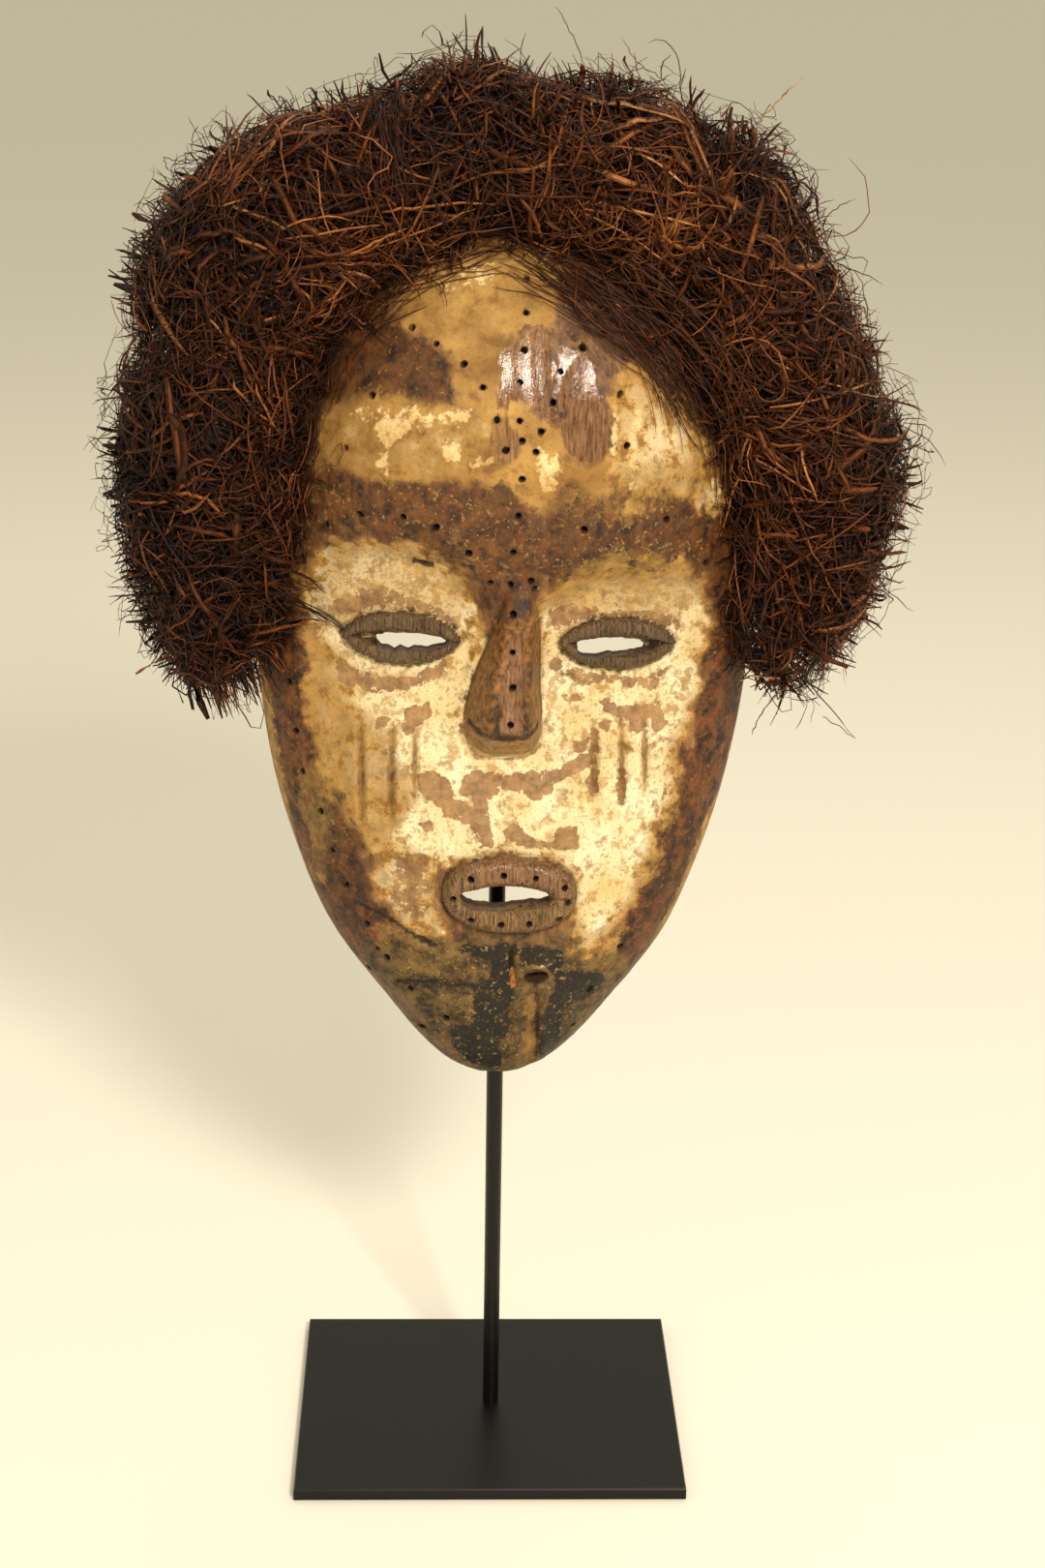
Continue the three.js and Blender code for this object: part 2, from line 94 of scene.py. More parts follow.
def writePoints(piece, places):
    piece.data.vertices.foreach_set("co", np.asarray(places, dtype=np.float32).ravel())
    piece.data.update()


def storeValues(piece, name, values):
    layer = piece.data.attributes.new(name, "FLOAT", "POINT")
    layer.data.foreach_set("value", np.asarray(values, dtype=np.float32).ravel())


# Numbers along lines
def smoothThrough(pairs):  # a smooth line through (place, value) pairs, flat beyond its ends
    places, values = np.array(pairs, float).T
    last = len(places) - 1
    before = np.maximum(np.arange(last + 1) - 1, 0)
    after = np.minimum(np.arange(last + 1) + 1, last)
    slopes = (values[after] - values[before]) / (places[after] - places[before])

    def valueAt(place):
        at = np.clip(np.asarray(place, float), places[0], places[-1])
        i = np.clip(np.searchsorted(places, at, side="left") - 1, 0, last - 1)
        span = places[i + 1] - places[i]
        t = (at - places[i]) / span
        rise = values[i + 1] - values[i]
        start, end = slopes[i] * span, slopes[i + 1] * span
        return values[i] + t * start + t**2 * (3 * rise - 2 * start - end) + t**3 * (start + end - 2 * rise)

    return valueAt


def smoothStep(value, low, high):
    t = np.clip((value - low) / (high - low), 0, 1)
    return t * t * (3 - 2 * t)


def unevenness(x, z, sizeX, sizeZ, seed):  # rolling bumps from -1 to 1, about sizeX by sizeZ each
    lattice = np.random.default_rng(seed).uniform(-1, 1, (256, 256))
    u, v = x / sizeX + 1000, z / sizeZ + 1000
    i, j = np.floor(u).astype(int), np.floor(v).astype(int)
    a, b = u - i, v - j
    a, b = a * a * (3 - 2 * a), b * b * (3 - 2 * b)

    def corner(di, dj):
        return lattice[(i + di) % 256, (j + dj) % 256]

    low = corner(0, 0) * (1 - a) + corner(1, 0) * a
    high = corner(0, 1) * (1 - a) + corner(1, 1) * a
    return low * (1 - b) + high * b


# The mask's form, in mm in its own frame: x right, z up from the chin, the face looks along -y
maskForm = {
    "position": (-1.5, -4.5, 157.7),
    "tiltBack": 4,
    "leanRight": 1.5,
    "height": 332,
    "wall": 9,
    "thinWall": 5,
    "thinReach": (26, 16),  # how far round an eye or the mouth the wall is thin
    "sidePower": 2.8,
    "frontPower": 1.9,
    "halfWidths": [(0, 0), (8, 21.5), (31.5, 43), (61, 64.3), (93, 77.4), (123, 85.6), (160, 90.8), (200, 91),
                   (240, 85.5), (275, 72), (305, 50), (324, 24), (332, 0)],
    "centreLine": [(0, 2), (36, 1.4), (85, 0), (140, -0.8), (332, -0.8)],
    "depths": [(0, 0), (3, 13), (10, 22), (28, 31), (50, 38), (72, 42), (105, 44), (140, 45), (168, 48), (192, 53),
               (210, 59), (230, 63.5), (250, 66), (270, 65), (292, 57), (310, 44), (323, 28), (332, 0)],
    "sockets": {"at": [(-42, 215, 35), (41, 209, 34)],  # x and z of the brow's crown, half span
                "sink": 8, "archDrop": 18, "below": 10.8, "above": 7.2, "cheek": (115, 170), "sides": (0.7, 1.15)},
    "eyes": [{"x": -38.3, "z": 177.6}, {"x": 39.1, "z": 178.2}],
    "lid": {"halfLength": 19.4, "halfHeight": 6.1, "band": 4.1, "cornerBand": 1.7, "rise": 4.6, "power": 1.4},
    "mouth": {"x": 3.9, "z": 84},
    "lip": {"halfLength": 18.6, "halfHeight": 9.2, "band": 6.1, "cornerBand": 6.1, "rise": 6.5, "power": 0.85},
    "scars": [(-52.5, 148, 105, 2), (-41, 146, 104, 1), (-32.8, 149, 116, 1), (32.5, 148, 118, 1), (42, 151, 117, 1.5),
              (50.5, 151, 119, 1.5)],
    "scarHalf": 1.9,
    "scarDepth": 2.3,
    "chinGroove": ((13.4, 48, 3, 1.6), 4.2),  # x, top, bottom and slant, then half its width
    "chinGrooveDepth": 2.4,
    "chinSplit": ((5.9, 61, 45, 1.2), 1.3, 1.2),
    "columns": 250,
    "rows": 300,
    "closerRows": [(139, 8, 1.3), (178, 12, 0.7), (84, 15, 0.6), (205, 12, 0.3)],  # height, reach, how much closer
}
turnBack = Matrix.Rotation(math.radians(-maskForm["tiltBack"]), 3, "X")
turnRight = Matrix.Rotation(math.radians(maskForm["leanRight"]), 3, "Y")
maskTurn = np.array(turnBack @ turnRight)
maskPlace = np.array(maskForm["position"], float)


def toWorld(local):  # mm in the mask's frame to metres in the scene
    return (np.asarray(local) @ maskTurn.T + maskPlace) * mm


def toLocal(world):
    return (np.asarray(world) / mm - maskPlace) @ maskTurn


def angleOf(z):
    return np.arccos(1 - 2 * np.clip(z, 0, maskForm["height"]) / maskForm["height"])


widthAlong = smoothThrough([(float(angleOf(z)), width) for z, width in maskForm["halfWidths"]])
depthAlong = smoothThrough([(float(angleOf(z)), depth) for z, depth in maskForm["depths"]])
centreAlong = smoothThrough(maskForm["centreLine"])


def socketDepth(x, z):  # a scoop under each arched brow, fading out over the cheek
    share = np.zeros(np.broadcast(x, z).shape)
    form = maskForm["sockets"]
    for socketX, socketZ, halfSpan in form["at"]:
        across = np.abs(x - socketX) / halfSpan
        browZ = socketZ - form["archDrop"] * across**2
        underBrow = 1 - smoothStep(z, browZ - form["below"], browZ + form["above"])
        here = underBrow * smoothStep(z, *form["cheek"]) * (1 - smoothStep(across, *form["sides"]))
        share = np.maximum(share, here)
    return form["sink"] * share


def faceDepth(x, z, grow=0):
    angle = angleOf(z)
    half = np.maximum(widthAlong(angle) + grow, 1e-6)
    across = np.minimum(np.abs(x - centreAlong(z)) / half, 1)
    dome = (1 - across ** maskForm["sidePower"]) ** (1 / maskForm["frontPower"])
    return np.maximum((depthAlong(angle) + grow - socketDepth(x, z)) * dome, 0)


def wallThinning(x, z):  # the wall is thinner behind the eyes and the mouth
    reachX, reachZ = maskForm["thinReach"]
    thin = sum(np.exp(-(((x - at["x"]) / reachX) ** 2) - ((z - at["z"]) / reachZ) ** 2)
               for at in [*maskForm["eyes"], maskForm["mouth"]])
    return (maskForm["wall"] - maskForm["thinWall"]) * np.minimum(thin, 1)


def hollowDepth(x, z, grow):  # hollowed with a gouge, which leaves tool marks
    outer = faceDepth(x, z, grow)
    gouges = 0.45 * unevenness(x, z, 6, 14, 31) + 0.2 * unevenness(x, z, 2.5, 9, 32)
    return np.where(outer > 0, outer + wallThinning(x, z) + gouges * np.minimum(outer / 8, 1), 0)


# Lines down the nose as (height, x): its two edges and, between them, the two sides of the ridge
noseLines = {
    "left": [(130, -15.5), (146, -16), (164, -12.6), (177, -8.4), (191, -4.6), (205, -2.5)],
    "ridgeLeft": [(130, -4), (149, -3.8), (164, -3), (177, -0.3), (191, 0.8), (205, 1)],
    "ridgeRight": [(130, 6.8), (149, 6.7), (164, 6.3), (177, 6.2), (191, 5.6), (205, 5)],
    "right": [(130, 13.5), (146, 13.7), (164, 12), (177, 11.5), (191, 10.5), (205, 8)],
}
noseLines = {name: smoothThrough(points) for name, points in noseLines.items()}
nose = {"top": 205, "length": 67, "end": 135.8, "endRise": 7, "middle": -1.2, "half": 15, "frontEdge": 10.8,
        "frontSoft": (10.3, 15), "rootRise": 2, "tipRise": 17, "foot": 2, "ridgeCut": 0.9}


def noseEnd(x):  # the end is cut round
    return nose["end"] + nose["endRise"] * np.minimum(np.abs(x - nose["middle"]) / nose["half"], 1.2) ** 5


def noseLinesAt(z):
    return [line(z) for line in noseLines.values()]


def noseHeight(x, z):
    aboveEnd = z - noseEnd(x)
    left, ridgeLeft, ridgeRight, right = noseLinesAt(z)
    down = np.clip((nose["top"] - z) / nose["length"], 0, 1)
    # the end has a front edge and a slope under it
    blunt = (0.09 + 0.73 * np.clip(aboveEnd / nose["frontEdge"], 0, 1) ** 0.9
             + 0.18 * smoothStep(aboveEnd, *nose["frontSoft"]))
    lift = (nose["rootRise"] * smoothStep(down, 0, 0.35)
            + nose["tipRise"] * down**0.9 * smoothStep(down, -0.06, 0.24)) * blunt
    share = np.clip(np.minimum((x - left) / (ridgeLeft - left), (right - x) / (right - ridgeRight)), 0, 1)
    height = (lift + nose["foot"]) * np.sin(share * np.pi / 2) ** 0.8 - nose["foot"]
    beside = np.minimum(np.abs(x - ridgeLeft), np.abs(x - ridgeRight))
    cut = nose["ridgeCut"] * np.exp(-((beside / 0.9) ** 2)) * smoothStep(z, 148, 154) * (1 - smoothStep(z, 184, 190))
    inside = (z < nose["top"]) & (aboveEnd > 0) & (x > left) & (x < right)
    return np.where(inside, np.maximum(height - cut, 0), 0)


def bandHeight(x, z, centre, form):  # a raised rim that follows an oval, how far along it and how far beyond it
    height, along, beyond = np.zeros(x.shape), np.zeros(x.shape), np.full(x.shape, 9.0)
    margin = form["band"] + 6
    near = ((np.abs(x - centre["x"]) < form["halfLength"] + margin)
            & (np.abs(z - centre["z"]) < form["halfHeight"] + margin))
    turn = 2 * np.pi * np.arange(720) / 720
    ovalX = form["halfLength"] * np.cos(turn)
    ovalZ = form["halfHeight"] * np.sign(np.sin(turn)) * np.abs(np.sin(turn)) ** form["power"]
    lengths = np.cumsum(np.hypot(np.diff(ovalX, prepend=ovalX[-1]), np.diff(ovalZ, prepend=ovalZ[-1])))
    gap = np.hypot(x[near][:, None] - centre["x"] - ovalX, z[near][:, None] - centre["z"] - ovalZ)
    nearest = gap.argmin(axis=1)
    fromCorner = 1 - np.abs(ovalX[nearest] / form["halfLength"]) ** 3
    band = form["cornerBand"] + (form["band"] - form["cornerBand"]) * fromCorner
    off = gap.min(axis=1) / band
    height[near] = form["rise"] * (1 - np.minimum(off, 1) ** 2.8) ** (1 / 1.8)
    along[near] = lengths[nearest]
    beyond[near] = gap.min(axis=1) - band
    return height, along, beyond


def groove(x, z, line, halfWidth, depth):
    lineX, top, bottom, slant = line
    along = np.clip((top - z) / (top - bottom), 0, 1)
    off = np.abs(x - lineX - slant * along) / halfWidth
    fade = np.sqrt(np.sin(np.pi * along))
    return fade * (-depth * np.maximum(1 - off, 0) + 0.25 * depth * np.exp(-(((off - 1.25) / 0.35) ** 2)))


# Cuts of the gouge that show as flat or hollow places: x, z, half width, half height, depth
facets = [(1, 276, 9, 18, 0.5), (21.5, 263, 8, 19, 0.9), (-40, 275, 20, 13, 1.0), (46, 262, 12, 18, 0.6),
          (-40, 250, 24, 9, 0.4), (-18, 292, 18, 12, 0.5), (30, 290, 14, 10, 0.4), (36.5, 248, 2.5, 22, 0.8),
          (12, 228, 16, 10, 0.4), (-28, 100, 12, 12, 0.4), (40, 88, 12, 20, 0.4), (-66, 130, 10, 28, 0.5)]
# Marks of the adze and the grain: depth, width, length, seed
toolMarks = [(0.35, 16, 22, 51), (0.16, 5, 9, 52), (0.09, 1.6, 12, 53), (0.07, 2, 2, 54)]
# Where the rims slope down to the openings: x, z, half width, half height, depth
sunkOvals = [(-36.5, 176.8, 16.5, 3.2, 2), (38, 177, 16.5, 3.3, 2), (2.6, 83.4, 18.5, 4.2, 1.8)]
cracks = [[(-50, 74.5), (-40.5, 71.3), (-31, 65.5), (-23, 62)], [(-36, 43.5), (-28, 45.5), (-17.5, 44.5), (-8, 45.5)],
          [(5.5, 61), (5.9, 52)], [(-34.5, 207.3), (-28.5, 206)], [(15, 47), (16.5, 30), (16.8, 12)]]
crackHalf = 1.4


def crackDepth(x, z):  # fine splits in the wood, deepest along their middle
    depth = np.zeros(x.shape)
    for line in cracks:
        for (ax, az), (bx, bz) in zip(line, line[1:]):
            t = np.clip(((x - ax) * (bx - ax) + (z - az) * (bz - az)) / ((bx - ax) ** 2 + (bz - az) ** 2), 0, 1)
            off = np.hypot(x - ax - t * (bx - ax), z - az - t * (bz - az)) + 0.4 * unevenness(x, z, 2, 2, 47)
            depth = np.maximum(depth, 1 - np.clip(off / crackHalf, 0, 1))
    return depth


def carving(x, z):  # all that stands on the plain form: rims, nose, scars, facets and the marks of the adze
    rims = {}
    height = noseHeight(x, z)
    leftEye, rightEye = maskForm["eyes"]
    for name, centre, form in [("lid", leftEye, maskForm["lid"]), ("lid2", rightEye, maskForm["lid"]),
                               ("lip", maskForm["mouth"], maskForm["lip"])]:
        rise, along, _ = rims[name] = bandHeight(x, z, centre, form)
        ribs = (0.16 * np.sin(2 * np.pi * along / 1.9 + 2 * unevenness(x, z, 5, 5, 40))
                + 0.25 * unevenness(x, z, 3, 3, 41))  # cut across, 1.9 mm from one to the next
        height = np.maximum(height, rise + ribs * smoothStep(rise, 0.5, 2.5))
    sunken = np.zeros(x.shape)
    for atX, atZ, halfX, halfZ, depth in sunkOvals:
        reach = ((x - atX) / halfX) ** 2 + ((z - atZ) / halfZ) ** 2 + 0.25 * unevenness(x, z, 2, 2, 45)
        sunken = np.maximum(sunken, depth * (1 - smoothStep(reach, 0.55, 1.1)))
    rims["sunken"] = sunken
    height = height - sunken
    for line in maskForm["scars"]:
        height = height + groove(x, z, line, maskForm["scarHalf"], maskForm["scarDepth"])
    height = (height + groove(x, z, *maskForm["chinGroove"], maskForm["chinGrooveDepth"])
              + groove(x, z, *maskForm["chinSplit"]) - 1.4 * crackDepth(x, z))
    flat = smoothStep(1.5 - height, 0, 1.5)
    for atX, atZ, halfX, halfZ, depth in facets:
        near = np.clip(1 - ((x - atX) / halfX) ** 2 - ((z - atZ) / halfZ) ** 2, 0, 1)
        height = height - depth * np.sqrt(near) * flat
    marks = sum(depth * unevenness(x, z, wide, tall, seed) for depth, wide, tall, seed in toolMarks)
    rough = 1 + 1.2 * smoothStep(75 - z, 0, 25)  # the chin is cut more roughly
    return height + marks * rough * (0.35 + 0.65 * flat), rims


def carvedDepth(x, z):  # the whole front: its form, and its carving, which fades out at the border
    plain = faceDepth(x, z)
    relief, rims = carving(x, z)
    return plain + relief * np.minimum(plain / 6, 1), rims


def spread(weights, count):  # places along 0..1 that lie closer together where the weight is larger
    total = np.concatenate([[0], np.cumsum((weights[1:] + weights[:-1]) / 2)])
    return np.interp(np.linspace(0, total[-1], count + 1), total, np.linspace(0, 1, len(weights)))


def shellPiece(name, columns, rows, depthAt, grow=0, back=0, fine=False):
    # A grid drawn over the form like a sheet, its border brought to the flat back and closed there.
    bottom = max(-grow, 0) + 0.05
    top = maskForm["height"] - bottom
    heights = np.linspace(bottom, top, 1200)  # the rows are found on these samples, closer together at both ends
    toEnd = np.minimum(heights - bottom, top - heights)
    weights = 1 + 9 * np.exp(-toEnd / 4)
    if fine:
        for middle, reach, more in maskForm["closerRows"]:
            weights = weights + more * np.exp(-(((heights - middle) / reach) ** 2))
    rowZ = np.interp(spread(weights, rows), np.linspace(0, 1, len(heights)), heights)
    sampleShare = np.sin(np.linspace(-np.pi / 2, np.pi / 2, 700))
    shares = np.empty((rows + 1, columns + 1))
    for i, z in enumerate(rowZ):
        half = max(float(widthAlong(angleOf(z))) + grow, 0.5)
        x = float(centreAlong(z)) + half * sampleShare
        y = depthAt(x, np.full_like(x, z))
        length = np.concatenate([[0], np.cumsum(np.hypot(np.diff(x), np.diff(y)))])
        shares[i] = np.interp(np.linspace(0, length[-1], columns + 1), length, sampleShare)
    blur = max(rows // 60, 1)
    kernel = np.exp(-((np.arange(-3 * blur, 3 * blur + 1) / blur) ** 2) / 2)
    padded = np.pad(shares, ((3 * blur, 3 * blur), (0, 0)), mode="edge")
    shares = np.stack([np.convolve(padded[:, j], kernel / kernel.sum(), mode="valid")
                       for j in range(columns + 1)], axis=1)  # so that neighbouring rows run alike
    bpy.ops.mesh.primitive_grid_add(x_subdivisions=columns, y_subdivisions=rows, size=2)
    piece = bpy.context.object
    piece.name = name
    flatGrid = readPoints(piece)
    j = np.rint((flatGrid[:, 0] + 1) / 2 * columns).astype(int)
    i = np.rint((flatGrid[:, 1] + 1) / 2 * rows).astype(int)
    z = rowZ[i]
    half = np.maximum(widthAlong(angleOf(z)) + grow, 0.5)
    x = centreAlong(z) + half * shares[i, j]
    level = z + max(grow, 0) * (2 * z / maskForm["height"] - 1)
    border = (i == 0) | (i == rows) | (j == 0) | (j == columns)
    y = np.where(border, 0, -depthAt(x, z))
    writePoints(piece, toWorld(np.stack([x, y, level], axis=1)))
    bpy.ops.object.mode_set(mode="EDIT")
    pickBorder()
    if back:
        bpy.ops.mesh.extrude_edges_move(TRANSFORM_OT_translate={"value": maskTurn @ np.array([0, back * mm, 0])})
    bpy.ops.mesh.edge_face_add()
    leaveEdit()
    return piece


# The edges of the openings as outlines in mm; the lower edges are the chewed ones
openings = [
    [(-47.6, 177.2), (-44, 178.3), (-38, 178.6), (-33, 179.3), (-29, 179.4), (-25, 178.4), (-21.6, 177.4),
     (-22.4, 175.2), (-26, 174.5), (-29.4, 173.4), (-33, 173.9), (-36, 172.6), (-38.6, 173.6), (-40.6, 172.3),
     (-43, 173.6), (-45, 173.2), (-46.6, 175)],
    [(24.4, 177.2), (25.2, 179.2), (29, 179.9), (36, 180), (42, 179.6), (47, 179), (49.2, 177.4), (48.4, 175.2),
     (43, 174.4), (40, 173.8), (36, 173.9), (33, 173), (29, 172.8), (26, 173.2), (24.6, 174.6)],
    [(-14.6, 84.4), (-13, 86), (-8, 86.6), (0, 87.4), (8, 87.2), (14, 86.6), (17, 85.8), (18.8, 84.4), (18.4, 81.6),
     (14, 80.4), (11.6, 80.6), (9, 79.8), (4, 79.4), (-3, 78.6), (-6, 79), (-9, 78.9), (-12, 80), (-14, 81.8)],
]
slit = {"corners": 110, "ragged": 0.3, "chewed": 1.3, "before": 25, "length": 95}


def slitCutter(corners, seed):  # a plug with a chewed outline, from before the face into the hollow
    count, chewed = slit["corners"], slit["chewed"]
    bpy.ops.mesh.primitive_circle_add(vertices=count, radius=1, fill_type="NGON")
    plug = bpy.context.object
    turn = np.arctan2(readPoints(plug)[:, 1], readPoints(plug)[:, 0])
    cornerX, cornerZ = np.array(corners + corners[:1], float).T
    length = np.concatenate([[0], np.cumsum(np.hypot(np.diff(cornerX), np.diff(cornerZ)))])
    share = (1 - turn / np.pi) / 2 * length[-1]
    x = np.interp(share, length, cornerX)
    z = np.interp(share, length, cornerZ)
    x, z = [value + slit["ragged"] * unevenness(x, z, chewed, chewed, seed + i) for i, value in enumerate([x, z])]
    before = faceDepth(x, z).max() + slit["before"]
    writePoints(plug, toWorld(np.stack([x, np.full(count, -before), z], axis=1)))
    bpy.ops.object.mode_set(mode="EDIT")
    bpy.ops.mesh.select_all(action="SELECT")
    bpy.ops.mesh.extrude_region_move(TRANSFORM_OT_translate={"value": maskTurn @ np.array([0, slit["length"] * mm, 0])})
    leaveEdit()
    return plug


def holeCutter(x, z, radius, depth, wide, lean):  # a worm hole: a tapered plug square to the surface, a little oval
    def rise(dx, dz):
        return float(faceDepth(x + dx, z + dz) + carving(np.array([x + dx]), np.array([z + dz]))[0][0])

    normal = np.array([-(rise(2, 0) - rise(-2, 0)) / 4, -1, -(rise(0, 2) - rise(0, -2)) / 4])
    normal /= np.linalg.norm(normal)
    if 137 < z < 200 and abs(x) < 12:  # straight into the nose
        normal = np.array([0, -1, 0])
    proud = 2  # the plug stands this far out of the wood
    bpy.ops.mesh.primitive_cone_add(vertices=10, radius1=radius * 0.55, radius2=radius, depth=depth + proud)
    plug = bpy.context.object
    local = readPoints(plug) * np.array([wide, 1, 1])
    tilt = Matrix.Rotation(lean, 3, "Z")
    across = Vector(normal).to_track_quat("Z", "Y").to_matrix() @ tilt
    centre = np.array([x, -rise(0, 0), z]) + normal * (proud - (depth + proud) / 2)
    writePoints(plug, toWorld(local @ np.array(across).T + centre))
    return plug


# The mask
wormHoles = [
    (1, 305.5), (1, 294.7), (0.8, 282.5), (-0.3, 272), (27.8, 288.5), (20.7, 284), (13.3, 276), (-37.5, 288),
    (-29, 283.3), (-19.5, 277.3), (-12.8, 270), (-50.5, 264.8), (11.2, 265.8), (-7.7, 259.3), (0, 259.2),
    (7.5, 255.8), (1.2, 252.5), (-4.3, 249), (-59, 246), (6, 248.8), (37.2, 251.5), (1.7, 239.2), (1, 226.3),
    (24, 222), (53, 225.5), (-38.5, 224), (-27, 221), (-15.5, 212), (-0.2, 213), (-7.7, 201.2), (-0.5, 201),
    (6.5, 202.7), (-73.8, 204.7), (68.7, 208.5), (0.8, 190.8), (1, 177.5), (1.5, 165), (1.2, 152),
    (-78.7, 156.8), (-75.8, 138.5), (-73.3, 123.2), (-66, 109.3), (-61.5, 94.5), (-48, 67.2), (-40.3, 53.8),
    (-47.3, 45.5), (-31.2, 41), (-17.5, 30.3), (-10.5, 91), (1.3, 92.8), (13, 92), (23.7, 88.5), (-16.8, 83),
    (-10, 75), (1, 73.7), (11.3, 74.2), (22.2, 76), (25.2, 82.8), (46.3, 61.2), (30.5, 26.5),
]
longHoles = [  # x, z, radius, how wide, lean in degrees
    (34, 269, 1.2, 1.8, 60), (-53.5, 223.5, 1.0, 1.9, -40), (-65.3, 218.2, 1.0, 1.8, 80), (-56, 81.5, 1.0, 2.2, 60),
    (-26.5, 23.3, 1.4, 1.9, 20), (36, 43, 1.3, 1.7, 70), (-31, 206.6, 0.6, 4.2, -12),
    (7.8, 200, 0.7, 1.6, 30), (-44, 57, 0.8, 1.4, 20), (15.2, 50.3, 2.6, 2, 8),
]

mask = shellPiece("mask_carved", maskForm["columns"], maskForm["rows"], lambda x, z: carvedDepth(x, z)[0], fine=True)
cutWith(mask, shellPiece("hollow", 60, 90, lambda x, z: hollowDepth(x, z, -maskForm["wall"]),
                         grow=-maskForm["wall"], back=12))
print("mask: front drawn and hollow cut")
slits = [slitCutter(corners, 5 + 2 * i) for i, corners in enumerate(openings)]
cutWith(mask, joinAll(slits))
holeSizes = np.random.default_rng(11)
holes = [holeCutter(x, z, holeSizes.uniform(1.15, 1.6), holeSizes.uniform(3.5, 5.5), holeSizes.uniform(0.9, 1.3),
                    holeSizes.uniform(0, 3)) for x, z in wormHoles]
holes += [holeCutter(x, z, radius, 3.2 if radius < 2 else 6.5, wide, math.radians(lean))
          for x, z, radius, wide, lean in longHoles]
cutWith(mask, joinAll(holes))
print("mask: eyes, mouth and worm holes cut,", len(mask.data.polygons), "faces")

